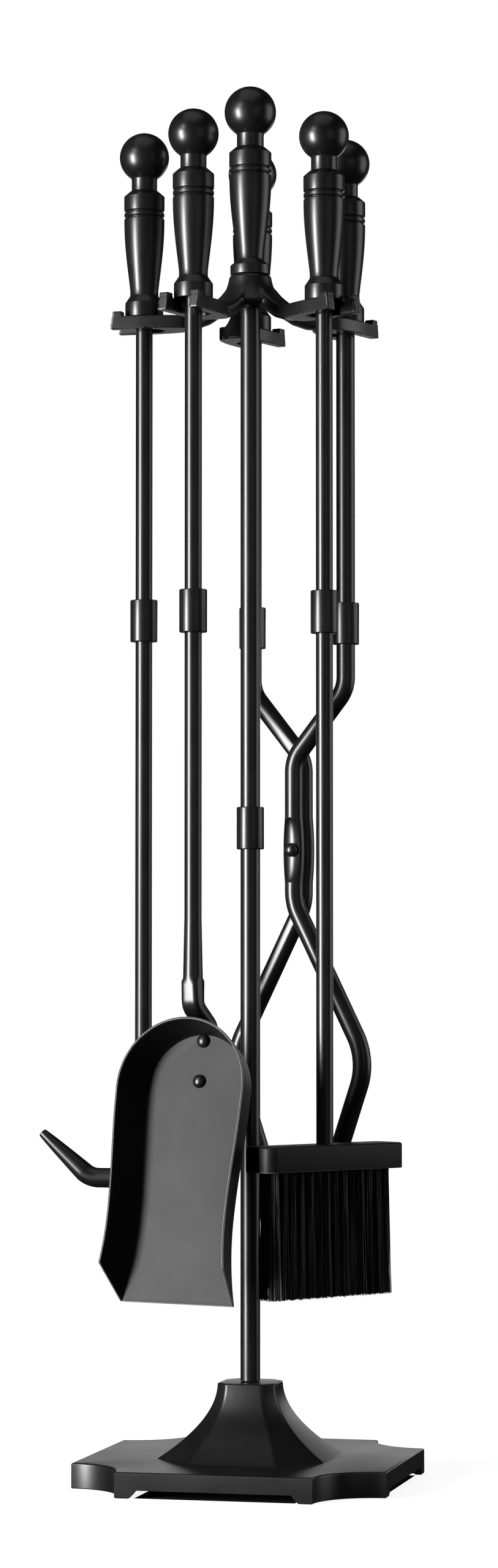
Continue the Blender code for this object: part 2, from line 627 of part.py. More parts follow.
def build_shovel(black, parent):
    build_handle("shovel", black, parent, ROD_RADIUS)
    joint = build_upper_rod("shovel", black, parent, ROD_RADIUS)
    place = pan_place()

    pan = add_object("shovel_pan", pan_sheet(), black, parent, 40)
    pan.data.transform(place)
    sheet = pan.modifiers.new("Sheet", "SOLIDIFY")
    sheet.thickness = PAN_SHEET
    sheet.offset = 1
    sheet.use_even_offset = True

    # The tab lies along the back of the floor; the rod bends out of it and up.
    back = -PAN_SHEET - GAP - TAB_HALF_THICK
    upper_rivet = (UPPER_RIVET_HEIGHT - PAN_LIP_HEIGHT) / cos(PAN_TILT)
    lower_rivet = upper_rivet - RIVET_SPACING
    tab_foot = place @ Vector((0, lower_rivet - 7 * MM, back))
    tab_head = place @ Vector((0, upper_rivet + TAB_ABOVE_RIVET, back))
    bend_top = Vector((0, 0, tab_head.z + TAB_STEP))
    path = rounded_path([tab_foot, tab_head, bend_top, Vector((0, 0, joint))], [7 * MM, 8 * MM], 5)
    path[-1:] = [Vector((0, 0, bend_top.z + rise * MM)) for rise in (10, 16, 22, 36, 50)] + path[-1:]

    def section(point):
        # Wide and pressed flat at the tab, round above it.
        slim = max(0.0, min(1.0, (point.z - bend_top.z) / TAB_SWELL))
        full = max(0.0, min(1.0, (point.z - tab_head.z + 2 * MM) / (TAB_STEP + 22 * MM))) ** 0.5
        return (TAB_HALF_WIDTH + (ROD_RADIUS - TAB_HALF_WIDTH) * slim,
                TAB_HALF_THICK + (TAB_HALF_WIDTH - TAB_HALF_THICK) * full)

    rod = add_object("shovel_lower_rod", swept(path, section, (0, 1, 0)), black, parent)
    shank = 2.2 * MM
    for number, p in ((1, upper_rivet), (2, lower_rivet)):
        hole = turned([(0, -12 * MM), (shank + GAP, -12 * MM), (shank + GAP, 6 * MM), (0, 6 * MM)], 12)
        seat = place @ Matrix.Translation((0, p, 0))
        bmesh.ops.transform(hole, matrix=seat, verts=hole.verts)
        cutter = add_cutter("rivet_hole_%d" % number, hole, black, parent)
        combine(pan, cutter, "DIFFERENCE")
        combine(rod, cutter, "DIFFERENCE")
        tail = 2 * back + PAN_SHEET
        head = PAN_RIVET_HEAD
        rivet = turned([(0, tail - 1.2 * MM), (head - 0.4 * MM, tail - 1.2 * MM),
                        (head - 0.2 * MM, tail - 0.2 * MM), (shank, tail - 0.2 * MM), (shank, GAP),
                        (head - 0.2 * MM, GAP), (head, 0.9 * MM), (head * 0.8, 2.3 * MM),
                        (head * 0.42, 3.1 * MM), (0, 3.4 * MM)], 16)
        bmesh.ops.transform(rivet, matrix=seat, verts=rivet.verts)
        add_object("shovel_rivet_%d" % number, rivet, black, parent)


def build_brush(black, bristle, parent):
    build_handle("brush", black, parent, ROD_RADIUS)
    joint = build_upper_rod("brush", black, parent, ROD_RADIUS)
    socket = 9 * MM
    low = HOLDER_TOP - socket + GAP
    add_object("brush_lower_rod", turned([(0, low), (ROD_RADIUS, low), (ROD_RADIUS, joint), (0, joint)], 16),
               black, parent)
    outline = rounded_rectangle(HOLDER_DEPTH, HOLDER_LENGTH, HOLDER_CORNER)
    holder = add_object("brush_holder", extruded(outline, HOLDER_BOTTOM, HOLDER_TOP), black, parent)
    add_bevel(holder, 1.0 * MM, 2, 50)
    bore = ROD_RADIUS + GAP
    hole = turned([(0, HOLDER_TOP - socket), (bore, HOLDER_TOP - socket), (bore, HOLDER_TOP + MM),
                   (0, HOLDER_TOP + MM)], 16)
    combine(holder, add_cutter("holder_socket", hole, black, parent), "DIFFERENCE")
    tuft = rounded_rectangle(BRISTLE_DEPTH, BRISTLE_LENGTH, 3 * MM, 3)
    add_object("brush_bristles", extruded(tuft, BRISTLE_BOTTOM, HOLDER_BOTTOM - GAP), bristle, parent)


def build_tongs_arm(name, black, parent, side, front):
    # side is +1 or -1 along the line through the two rods; front is +1 on the arm nearer the pole.
    rod = add_empty(name + "_rod_axis", (0, side * TONGS_HALF, -PIVOT_HEIGHT))
    rod.parent = parent
    build_handle(name, black, rod, TONGS_ROD_RADIUS)
    joint = build_upper_rod(name, black, rod, TONGS_ROD_RADIUS)

    offset = -front * ARM_OFFSET
    corners = [(0, side * TONGS_HALF, joint), (0, side * TONGS_HALF, ELBOW_TOP), (offset, 0, MIDDLE_TOP),
               (offset, 0, MIDDLE_BOTTOM), (0, side * JAW_HALF, JAW_ELBOW), (0, side * JAW_TIP_HALF, JAW_TIP)]
    path = rounded_path([Vector(c) - Vector((0, 0, PIVOT_HEIGHT)) for c in corners], ELBOW_BENDS, 5)
    # Extra rings where the arm widens beside the rivet.
    swell = [Vector((offset, 0, SCOOP_LENGTH * (1.04 - 2.08 * k / 9))) for k in range(10)]
    above = [p for p in path if p.z > SCOOP_LENGTH * 1.05]
    below = [p for p in path if p.z < -SCOOP_LENGTH * 1.05]
    path = above + swell + below

    def section(point):
        return TONGS_ROD_RADIUS, TONGS_ROD_RADIUS

    def fit(spot):
        # Each arm keeps to its own side of the plane where they cross, and widens beside the rivet.
        away = -front * spot.x
        if JAW_ELBOW - PIVOT_HEIGHT < spot.z < MIDDLE_TOP - PIVOT_HEIGHT + 14 * MM:
            away = max(away, GAP / 2 - max(0.0, abs(spot.y) - 9 * MM))
        share = max(0.0, 1 - (spot.z / SCOOP_LENGTH) ** 2)
        return Vector((-front * away, spot.y * (1 + SCOOP_SWELL * share), spot.z))

    arm = add_object(name + "_arm", swept(path, section, (1, 0, 0), 16, fit), black, parent, 40)
    scoop = bmesh.new()
    bmesh.ops.create_uvsphere(scoop, u_segments=24, v_segments=14, radius=1.0)
    size = Matrix.Diagonal((SCOOP_DEPTH, SCOOP_HALF, SCOOP_LENGTH, 1)) @ Matrix.Rotation(radians(7), 4, "Z")
    spot = Matrix.Translation((-front * (ARM_OFFSET + TONGS_ROD_RADIUS + 0.2 * MM), 0, 0))
    bmesh.ops.transform(scoop, matrix=spot @ size, verts=scoop.verts)
    combine(arm, add_cutter(name + "_scoop_form", scoop, black, parent), "DIFFERENCE")
    hole = TONGS_SHANK + GAP
    bore = turned([(0, -20 * MM), (hole, -20 * MM), (hole, 20 * MM), (0, 20 * MM)], 12)
    bmesh.ops.transform(bore, matrix=Matrix.Rotation(pi / 2, 4, "Y"), verts=bore.verts)
    combine(arm, add_cutter(name + "_rivet_hole", bore, black, parent), "DIFFERENCE")


def build_tongs_rivet(steel, parent):
    seat = ARM_OFFSET + TONGS_ROD_RADIUS - SCOOP_SEAT + GAP
    head = [(4.1 * MM, seat), (4.1 * MM, seat + 0.7 * MM), (3.6 * MM, seat + 2.0 * MM),
            (2.2 * MM, seat + 3.1 * MM), (0, seat + 3.6 * MM)]
    profile = [(r, -z) for r, z in reversed(head)] + [(TONGS_SHANK, -seat), (TONGS_SHANK, seat)] + head
    rivet = turned(profile, 16)
    bmesh.ops.transform(rivet, matrix=Matrix.Rotation(pi / 2, 4, "Y"), verts=rivet.verts)
    add_object("tongs_rivet", rivet, steel, parent)


# Whole set ---------------------------------------------------------------------------------------

def centre_on_floor():
    # Moves the set so that the middle of its outline stands over the origin.
    bpy.context.view_layer.update()
    shown = [thing for thing in bpy.data.objects if thing.type == "MESH" and not thing.hide_render]
    graph = bpy.context.evaluated_depsgraph_get()
    spots = []
    for thing in shown:
        shape = thing.evaluated_get(graph)
        spots += [shape.matrix_world @ vertex.co for vertex in shape.to_mesh().vertices]
        shape.to_mesh_clear()
    middle = [(min(p[i] for p in spots) + max(p[i] for p in spots)) / 2 for i in range(2)]
    for thing in bpy.data.objects:
        if thing.parent is None:
            thing.location.x -= middle[0]
            thing.location.y -= middle[1]


def build_set():
    for thing in list(bpy.data.objects):
        bpy.data.objects.remove(thing)
    black = finish("black powder coat", (0.020, 0.020, 0.021), 0.42, 0.0)
    bristle = finish("black bristle", (0.008, 0.008, 0.008), 0.7, 0.0)
    steel = finish("plated steel", (0.35, 0.35, 0.36), 0.35, 1.0)

    roof = build_base(black)
    build_pole(black, steel, roof)
    build_hub(black)
    build_stand_handle(black, steel)

    tools = {name: (place, turn) for name, place, turn in arm_places()}
    seats = {name: add_empty(name + "_axis", *tools[name]) for name in ("poker", "shovel", "brush")}
    build_poker(black, seats["poker"])
    build_shovel(black, seats["shovel"])
    build_brush(black, bristle, seats["brush"])

    turn = HUB_TURN + pi
    pivot_spot = Vector((cos(turn), sin(turn), 0)) * TONGS_REACH + Vector((0, 0, PIVOT_HEIGHT))
    pivot = add_empty("tongs_pivot", pivot_spot, turn)
    build_tongs_arm("tongs_front", black, pivot, -1, 1)
    build_tongs_arm("tongs_back", black, pivot, 1, -1)
    build_tongs_rivet(black, pivot)
    centre_on_floor()


build_set()
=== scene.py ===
from math import atan, atan2, cos, pi, radians, sin, sqrt, tan

import bmesh
import bpy
from mathutils import Matrix, Vector


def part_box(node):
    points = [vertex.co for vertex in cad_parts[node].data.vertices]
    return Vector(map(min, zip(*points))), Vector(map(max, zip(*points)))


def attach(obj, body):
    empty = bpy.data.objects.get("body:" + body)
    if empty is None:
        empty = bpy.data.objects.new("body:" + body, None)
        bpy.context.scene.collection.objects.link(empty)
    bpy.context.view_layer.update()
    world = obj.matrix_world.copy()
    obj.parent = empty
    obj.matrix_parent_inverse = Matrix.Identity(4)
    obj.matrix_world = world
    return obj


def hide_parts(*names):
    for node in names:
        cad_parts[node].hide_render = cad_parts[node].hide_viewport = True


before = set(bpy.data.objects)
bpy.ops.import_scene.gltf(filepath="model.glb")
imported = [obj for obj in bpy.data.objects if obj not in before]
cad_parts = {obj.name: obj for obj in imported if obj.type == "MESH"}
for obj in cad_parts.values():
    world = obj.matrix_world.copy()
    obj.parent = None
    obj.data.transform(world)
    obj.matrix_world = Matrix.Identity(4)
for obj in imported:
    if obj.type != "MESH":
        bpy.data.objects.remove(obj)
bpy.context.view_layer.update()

mm = 0.001
cadGap = 0.3 * mm
print("fireplace tools: frame loaded,", len(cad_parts), "nodes")


# ---- places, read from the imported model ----

def boxOf(node):
    low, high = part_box(node)
    return Vector(low), Vector(high)

def middleOf(node):
    low, high = boxOf(node)
    return (low + high) / 2

poleSpot = middleOf("lower_pole").to_2d()
toolNames = ("poker", "shovel", "brush", "tongs_front", "tongs_back")

def radiusOf(node):
    low, high = boxOf(node)
    return (high.x - low.x) / 2

def rodRadius(tool):
    return radiusOf(tool + "_upper_rod")

def rodSpot(tool):
    return middleOf(tool + "_upper_rod").to_2d()

def outwardTurn(tool):
    # the tongs hang side by side and face the same way, square to the line through their two rods
    if tool.startswith("tongs"):
        between = (rodSpot("tongs_front") + rodSpot("tongs_back")) / 2
        away = between - poleSpot
    else:
        away = rodSpot(tool) - poleSpot
    return atan2(away.y, away.x)

def toolPlace(tool):
    spot = rodSpot(tool)
    return Matrix.Translation((spot.x, spot.y, 0)) @ Matrix.Rotation(outwardTurn(tool), 4, "Z")


# ---- mesh helpers ----

def linked(name, data):
    piece = bpy.data.objects.new(name, data)
    bpy.context.scene.collection.objects.link(piece)
    return piece

def finishMesh(name, bm, place=None, sharpAngle=32):
    bmesh.ops.remove_doubles(bm, verts=bm.verts, dist=1e-6)
    bmesh.ops.recalc_face_normals(bm, faces=bm.faces)
    if place is not None:
        bmesh.ops.transform(bm, matrix=place, verts=bm.verts)
    mesh = bpy.data.meshes.new(name)
    bm.to_mesh(mesh)
    bm.free()
    mesh.shade_smooth()
    mesh.set_sharp_from_angle(angle=radians(sharpAngle))
    return linked(name, mesh)

def applied(piece, sharpAngle=32):
    # turns the modifiers into a plain mesh
    bpy.context.view_layer.update()
    graph = bpy.context.evaluated_depsgraph_get()
    mesh = bpy.data.meshes.new_from_object(piece.evaluated_get(graph))
    piece.modifiers.clear()
    piece.data = mesh
    mesh.shade_smooth()
    mesh.set_sharp_from_angle(angle=radians(sharpAngle))
    return piece

def cutOrJoin(piece, tool, operation):
    modifier = piece.modifiers.new(operation.lower(), "BOOLEAN")
    modifier.operation = operation
    modifier.solver = "EXACT"
    modifier.object = tool
    applied(piece)
    bpy.data.objects.remove(tool)

def easeEdges(piece, width, segments):
    edge = piece.modifiers.new("edge", "BEVEL")
    edge.width = width
    edge.segments = segments
    edge.limit_method = "ANGLE"
    edge.angle_limit = radians(50)
    return applied(piece)

def gathered(name, forms):
    # puts several closed forms into one mesh, for a remesh to make one skin of them
    bm = bmesh.new()
    for form in forms:
        bm.from_mesh(form.data)
        bpy.data.objects.remove(form)
    mesh = bpy.data.meshes.new(name)
    bm.to_mesh(mesh)
    bm.free()
    return linked(name, mesh)

def lathe(profile, sides=64):
    bm = bmesh.new()
    spots = [bm.verts.new((r, 0, z)) for r, z in profile]
    edges = [bm.edges.new(pair) for pair in zip(spots, spots[1:])]
    if profile[0][0] > 0:
        edges.append(bm.edges.new((spots[-1], spots[0])))
    bmesh.ops.spin(bm, geom=spots + edges, cent=(0, 0, 0), axis=(0, 0, 1), angle=2 * pi, steps=sides,
                   use_merge=True)
    return bm

def bore(piece, radius, bottom, top, place=None, sides=32):
    hole = lathe([(0, bottom), (radius, bottom), (radius, top), (0, top)], sides)
    cutOrJoin(piece, finishMesh("hole", hole, place), "DIFFERENCE")

def arc(centreR, centreZ, radius, startDegrees, endDegrees, steps):
    return [(centreR + radius * cos(radians(startDegrees + (endDegrees - startDegrees) * k / steps)),
             centreZ + radius * sin(radians(startDegrees + (endDegrees - startDegrees) * k / steps)))
            for k in range(steps + 1)]

def loft(rings, closed=True):
    bm = bmesh.new()
    rows = [[bm.verts.new(spot) for spot in ring] for ring in rings]
    for lower, upper in zip(rows, rows[1:]):
        for i in range(len(lower)):
            j = (i + 1) % len(lower)
            bm.faces.new((lower[i], lower[j], upper[j], upper[i]))
    if closed:
        bm.faces.new(list(reversed(rows[0])))
        bm.faces.new(rows[-1])
    return bm

def prism(outline, bottom, top):
    return loft([[(x, y, bottom) for x, y in outline], [(x, y, top) for x, y in outline]])

def roundedPath(spots, bends, steps=12):
    spots = [Vector(s) for s in spots]
    path = [spots[0]]
    for bend, before, corner, after in zip(bends, spots, spots[1:], spots[2:]):
        back = (before - corner).normalized()
        ahead = (after - corner).normalized()
        half = back.angle(ahead) / 2
        reach = min(bend / tan(half), (before - corner).length * 0.48, (after - corner).length * 0.48)
        middle = corner + (back + ahead).normalized() * (reach / cos(half))
        start = corner + back * reach - middle
        end = corner + ahead * reach - middle
        path += [middle + start.slerp(end, k / steps) * start.length for k in range(steps + 1)]
    path.append(spots[-1])
    return path

def sweep(path, section, side, sides=32, fit=None):
    side = Vector(side)
    rings = []
    for i, spot in enumerate(path):
        along = (path[min(i + 1, len(path) - 1)] - path[max(i - 1, 0)]).normalized()
        across = side.cross(along).normalized()
        radius, press = section(spot)
        ring = []
        for k in range(sides):
            turn = 2 * pi * k / sides
            height = radius * sin(turn)
            if press < radius:
                height = press * (1 - (1 - abs(sin(turn))) ** 2.2) * (1 if sin(turn) >= 0 else -1)
            place = spot + side * (radius * cos(turn)) + across * height
            ring.append(fit(place) if fit else place)
        rings.append(ring)
    return loft(rings)


# ---- node helpers ----

def feed(tree, node, inputs):
    # an input takes a plain value, or the socket or the node that feeds it
    for key, value in inputs.items():
        if isinstance(value, bpy.types.Node):
            value = value.outputs[0]
        if isinstance(value, bpy.types.NodeSocket):
            tree.links.new(value, node.inputs[key])
        else:
            node.inputs[key].default_value = value
    return node

def addNode(tree, kind, inputs, **settings):
    node = tree.nodes.new(kind)
    for label, value in settings.items():
        setattr(node, label, value)
    return feed(tree, node, inputs)

def startGroup(name, kinds):
    tree = bpy.data.node_groups.new(name, "GeometryNodeTree")
    for label, kind in {"Geometry": "Geometry", **kinds, "Material": "Material"}.items():
        tree.interface.new_socket(label, in_out="INPUT", socket_type="NodeSocket" + kind)
    tree.interface.new_socket("Geometry", in_out="OUTPUT", socket_type="NodeSocketGeometry")
    return tree, tree.nodes.new("NodeGroupInput").outputs

def closeGroup(tree, shape, given):
    real = addNode(tree, "GeometryNodeRealizeInstances", {"Geometry": shape})
    paint = addNode(tree, "GeometryNodeSetMaterial", {"Geometry": real, "Material": given["Material"]})
    addNode(tree, "NodeGroupOutput", {"Geometry": paint})
    return tree

def grown(name, mesh, group, inputs, sharpAngle=32):
    # gives the mesh to the node group and keeps what grows on it
    piece = linked(name, mesh)
    modifier = piece.modifiers.new(group.name, "NODES")
    modifier.node_group = group
    for item in group.interface.items_tree:
        if item.in_out == "INPUT" and item.name in inputs:
            modifier[item.identifier] = inputs[item.name]
    return applied(piece, sharpAngle)


# ---- materials ----

coatLook = {"colour": (0.0040, 0.0040, 0.0042), "paler": (0.0062, 0.0062, 0.0065), "cloudPerMetre": 38,
            "roughness": 0.32, "roughnessSpread": 0.04, "specular": 0.5, "peelPerMetre": 420,
            "peelDepth": 0.000003, "grainPerMetre": 3600, "grainDepth": 0.0000004, "edgeHighlightReach": 0,
            "edgeHighlightColour": (0.35, 0.35, 0.35)}
castLook = dict(coatLook, roughness=0.36, peelDepth=0.000008)
# the sheet coat's edge colour is a painted highlight along folds and cut edges
sheetLook = dict(coatLook, roughness=0.52, specular=0.24, edgeHighlightReach=0.9 * mm)
bristleLook = {"root": (0.0035, 0.0035, 0.0037), "tip": (0.010, 0.010, 0.0105), "roughness": 0.55,
               "roughnessSpread": 0.2, "strandsPerMetre": 1400}
steelLook = {"dull": (0.336, 0.336, 0.344), "colour": (0.42, 0.42, 0.43), "smoothest": 0.26, "roughest": 0.40,
             "brushPerMetre": 1500}
floorLook = {"dull": (0.34475, 0.34475, 0.34475), "colour": (0.35, 0.35, 0.35), "cloudPerMetre": 3,
             "roughness": 0.8, "glow": 0.88}

def newMaterial(name):
    material = bpy.data.materials.new(name)
    material.use_nodes = True
    tree = material.node_tree
    spots = tree.nodes.new("ShaderNodeTexCoord").outputs["Object"]
    return material, tree, tree.nodes["Principled BSDF"], spots

def noise(tree, spots, perMetre, detail):
    return addNode(tree, "ShaderNodeTexNoise", {"Vector": spots, "Scale": perMetre, "Detail": detail,
                                                "Roughness": 0.55})

def ranged(tree, source, low, high, toLow, toHigh):
    return addNode(tree, "ShaderNodeMapRange", {"Value": source, "From Min": low, "From Max": high,
                                                "To Min": toLow, "To Max": toHigh})

def blended(tree, share, first, second):
    first, second = [(*colour, 1) if isinstance(colour, tuple) else colour for colour in (first, second)]
    return addNode(tree, "ShaderNodeMix", {0: share, 6: first, 7: second}, data_type="RGBA").outputs[2]

def paintedEdgeHighlight(tree, look, paint):
    # painted highlight: a paler colour is laid along the sheet's folds and cut edges, standing in for the
    # light they catch
    edge = addNode(tree, "ShaderNodeBevel", {"Radius": look["edgeHighlightReach"]}, samples=6)
    facing = tree.nodes.new("ShaderNodeNewGeometry").outputs["Normal"]
    flat = addNode(tree, "ShaderNodeVectorMath", {0: edge, 1: facing}, operation="DOT_PRODUCT")
    highlightShare = ranged(tree, flat.outputs["Value"], 0.99, 0.90, 0, 1)
    return blended(tree, highlightShare, paint, look["edgeHighlightColour"])

def powderCoat(name, look):
    # satin black powder coat: slight orange peel, a finer grain and a cloudy sheen
    material, tree, shader, spots = newMaterial(name)
    cloud = noise(tree, spots, look["cloudPerMetre"], 4)
    paint = blended(tree, ranged(tree, cloud, 0.35, 0.65, 0, 1), look["colour"], look["paler"])
    # painted highlight along folds and cut edges, where the edge reach is set
    if look["edgeHighlightReach"] > 0:
        paint = paintedEdgeHighlight(tree, look, paint)
    rough, spread = look["roughness"], look["roughnessSpread"] / 2
    peel = addNode(tree, "ShaderNodeBump", {"Distance": look["peelDepth"],
                                            "Height": noise(tree, spots, look["peelPerMetre"], 2)})
    grain = addNode(tree, "ShaderNodeBump", {"Distance": look["grainDepth"], "Normal": peel,
                                             "Height": noise(tree, spots, look["grainPerMetre"], 2)})
    feed(tree, shader, {"Base Color": paint, "Specular IOR Level": look["specular"], "Normal": grain,
                        "Roughness": ranged(tree, cloud, 0.3, 0.7, rough - spread, rough + spread)})
    return material

def bristleMaterial(look):
    material, tree, shader, spots = newMaterial("blackBristleAndShade")
    low, high = boxOf("brush_bristles")
    height = addNode(tree, "ShaderNodeSeparateXYZ", {0: spots}).outputs["Z"]
    strands = noise(tree, spots, look["strandsPerMetre"], 2)
    share = addNode(tree, "ShaderNodeMath", {0: ranged(tree, height, high.z, low.z, 0, 1), 1: strands},
                    operation="MULTIPLY")
    rough, spread = look["roughness"], look["roughnessSpread"] / 2
    feed(tree, shader, {"Base Color": blended(tree, share, look["root"], look["tip"]),
                        "Roughness": ranged(tree, strands, 0.3, 0.7, rough - spread, rough + spread)})
    return material

def steelMaterial(look):
    material, tree, shader, spots = newMaterial("platedSteel")
    brushed = noise(tree, spots, look["brushPerMetre"], 3)
    feed(tree, shader, {"Metallic": 1, "Base Color": blended(tree, brushed, look["dull"], look["colour"]),
                        "Roughness": ranged(tree, brushed, 0.3, 0.7, look["smoothest"], look["roughest"])})
    return material

def floorMaterial(look):
    material, tree, shader, spots = newMaterial("paleFloor")
    cloud = noise(tree, spots, look["cloudPerMetre"], 3)
    feed(tree, shader, {"Base Color": blended(tree, cloud, look["dull"], look["colour"]),
                        "Roughness": look["roughness"], "Emission Color": (1, 1, 1, 1),
                        "Emission Strength": look["glow"]})
    return material

coat = powderCoat("satinPowderCoat", coatLook)
sheetCoat = powderCoat("sheetPowderCoat", sheetLook)
castCoat = powderCoat("castPowderCoat", castLook)
# this black is also the painted shade on the floor under the base
bristleAndShadeBlack = bristleMaterial(bristleLook)
platedSteel = steelMaterial(steelLook)
print("materials ready")

def settle(piece, body, nodeNames, material=None):
    piece.data.materials.clear()
    piece.data.materials.append(material or coat)
    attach(piece, body)
    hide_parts(*nodeNames)
    return piece


# ---- camera, floor and light ----

cameraPlan = {"lens": 92.0, "distance": 2332.6 * mm, "height": 300.8 * mm, "pitchDegrees": 2.516,
              "turnDegrees": 13.3, "sideways": -0.77 * mm}

def makeCamera(plan):
    turn = radians(plan["turnDegrees"])
    back = Vector((sin(turn), -cos(turn), 0))
    right = Vector((cos(turn), sin(turn), 0))
    data = bpy.data.cameras.new("toolSetCamera")
    data.lens = plan["lens"]
    data.sensor_width = 36
    data.clip_end = 30
    camera = linked("toolSetCamera", data)
    camera.location = (Vector((poleSpot.x, poleSpot.y, plan["height"])) + back * plan["distance"]
                       + right * plan["sideways"])
    camera.rotation_euler = (radians(90 + plan["pitchDegrees"]), 0, turn)
    bpy.context.scene.camera = camera

# angle is counted from the camera's side of the pole, clockwise seen from above, so + is to the camera's left
lightPlan = {"leftLow": {"angle": 57, "distance": 2.3, "height": 0.42, "size": (0.42, 1.3), "watts": 125},
             "leftHigh": {"angle": 50, "distance": 2.3, "height": 1.75, "size": (0.5, 0.5), "watts": 9},
             "frontFill": {"angle": -30, "distance": 2.6, "height": 0.7, "size": (1.4, 1.6), "watts": 2},
             "rightWide": {"angle": -96, "distance": 2.4, "height": 0.8, "size": (1.5, 1.8), "watts": 16},
             "overhead": {"angle": 20, "distance": 0.5, "height": 2.8, "size": (2.2, 2.2), "watts": 8},
             "behindLow": {"angle": 185, "distance": 3.2, "height": 0.5, "size": (3.0, 0.6), "watts": 8}}
levelLights = ("leftLow", "behindLow")
aimHeight = 0.42
worldPlan = {"seen": 1.0, "cast": 0.025}

def makeLights(plan):
    for name, look in plan.items():
        turn = radians(cameraPlan["turnDegrees"] - 90 - look["angle"])
        data = bpy.data.lights.new(name, "AREA")
        data.shape = "RECTANGLE"
        data.size, data.size_y = look["size"]
        data.energy = look["watts"]
        lamp = linked(name, data)
        lamp.location = (poleSpot.x + look["distance"] * cos(turn), poleSpot.y + look["distance"] * sin(turn),
                         look["height"])
        aim = Vector((poleSpot.x, poleSpot.y, aimHeight)) - lamp.location
        if name in levelLights:
            aim.z = 0
        lamp.rotation_euler = aim.to_track_quat("-Z", "Y").to_euler()

def makeWorld(plan):
    # plain white behind the set, and a dimmer, even fill on it
    world = bpy.data.worlds.new("studio")
    world.use_nodes = True
    tree = world.node_tree
    seen = tree.nodes.new("ShaderNodeLightPath").outputs["Is Camera Ray"]
    feed(tree, tree.nodes["Background"], {"Color": (1, 1, 1, 1),
                                          "Strength": ranged(tree, seen, 0, 1, plan["cast"], plan["seen"])})
    bpy.context.scene.world = world

floorPlan = {"radius": 0.8, "sides": 96, "low": -20 * mm, "high": -0.2 * mm, "shadeHigh": -0.05 * mm,
             "shadeWide": 46 * mm, "shadeLong": 88 * mm}

def makeFloor(plan):
    turns = [2 * pi * k / plan["sides"] for k in range(plan["sides"])]
    ring = [(plan["radius"] * cos(turn), plan["radius"] * sin(turn)) for turn in turns]
    floor = finishMesh("floorDisc", prism(ring, plan["low"], plan["high"]))
    floor.data.materials.append(floorMaterial(floorLook))
    floor.visible_glossy = False
    floor.visible_diffuse = False

    # painted shade: a thin black sheet, in the bristles' black material, laid on the floor between the feet
    # where the base shades it
    wide, long = plan["shadeWide"], plan["shadeLong"]
    corners = [(wide, long), (-wide, long), (-wide, wide), (-long, wide), (-long, -wide), (-wide, -wide),
               (-wide, -long), (wide, -long), (wide, -wide), (long, -wide), (long, wide), (wide, wide)]
    spots = [(poleSpot.x + x, poleSpot.y + y) for x, y in corners]
    shade = finishMesh("floorShade", prism(spots, plan["high"], plan["shadeHigh"]))
    # the bristles' black material serves here as painted shade
    shade.data.materials.append(bristleAndShadeBlack)

bpy.context.scene.view_settings.view_transform = "Standard"
makeCamera(cameraPlan)
makeLights(lightPlan)
makeWorld(worldPlan)
makeFloor(floorPlan)
print("camera, floor and lights ready")


# ---- handles and balls ----

handle = {"collar": 11.2 * mm, "collarHigh": 8.8 * mm, "waist": 8.3 * mm, "band": 11.9 * mm,
          "bandHigh": 7.7 * mm, "neck": 7.5 * mm, "shoulder": 2.9 * mm, "collarSlope": 3.4 * mm,
          "grooveDeep": 1.0 * mm, "spigot": 3.5 * mm, "sides": 72}
standHandle = dict(handle, collar=11.7 * mm, collarHigh=5.8 * mm, collarSlope=2.5 * mm, waist=7.9 * mm,
                   band=12.4 * mm, neck=7.9 * mm)

def handleProfile(length, bore, boreDeep, look):
    shoulder = length - look["shoulder"]
    bandFoot = shoulder - look["bandHigh"]
    gripTop = bandFoot - 6.6 * mm
    collar, high, waist, band = look["collar"], look["collarHigh"], look["waist"], look["band"]
    slope = look["collarSlope"]
    waistTop = high + slope + 3.6 * mm
    soft = 0.45 * mm
    profile = [(0, boreDeep), (bore, boreDeep), (bore, 0), (collar - soft, 0)]
    profile += arc(collar - soft, soft, soft, -90, 0, 4)
    profile += arc(collar - soft, high - soft, soft, 0, 45, 3)
    profile += [(waist + 0.5 * mm, high + slope - 0.2 * mm),
                (waist + 0.12 * mm, high + slope + 0.4 * mm), (waist, high + slope + 1.2 * mm)]
    for k in range(29):
        share = k / 28
        swell = sin(pi / 2 * share) ** 1.1
        profile.append((waist + (band - 0.05 * mm - waist) * swell,
                        waistTop + (gripTop - waistTop) * share))
    for foot in (gripTop + 0.7 * mm, gripTop + 4.0 * mm):
        edge = band - 0.1 * mm
        deep = edge - look["grooveDeep"]
        profile += [(edge, foot - 0.1 * mm), (edge - 0.15 * mm, foot + 0.1 * mm),
                    (deep, foot + 0.62 * mm), (deep, foot + 0.88 * mm),
                    (edge - 0.15 * mm, foot + 1.4 * mm), (edge, foot + 1.6 * mm)]
    profile += [(band, bandFoot + 0.2 * mm)] + arc(band - soft, shoulder - soft, soft, 0, 50, 3)
    profile += [(look["neck"] + 1.0 * mm, length - 0.15 * mm), (look["neck"] + 0.6 * mm, length),
                (look["spigot"], length), (look["spigot"], length - 10 * mm), (0, length - 10 * mm)]
    return profile

def ballProfile(radius, rise, neck, spigot=3.2 * mm):
    profile = [(0, -8 * mm), (spigot, -8 * mm), (spigot, cadGap), (neck, cadGap)]
    fillet = 1.0 * mm
    touch = -sqrt(radius ** 2 - (neck + fillet) ** 2)
    profile += [(neck, rise + touch - fillet * 1.4), (neck + fillet * 0.3, rise + touch - fillet * 0.45)]
    first = atan(touch / (neck + fillet))
    steps = 26
    for k in range(steps + 1):
        turn = first + (pi / 2 - first) * k / steps
        profile.append((radius * cos(turn) if k < steps else 0, rise + radius * sin(turn)))
    return profile

def makeHandle(tool, spot, held, look):
    low, high = boxOf(tool + "_handle")
    place = Matrix.Translation((*spot, low.z))
    profile = handleProfile(high.z - low.z, radiusOf(held) + cadGap, boxOf(held)[1].z - low.z + cadGap, look)
    settle(finishMesh(tool + "Handle", lathe(profile, look["sides"]), place), tool, [tool + "_handle"])
    makeBall(tool, look["neck"])

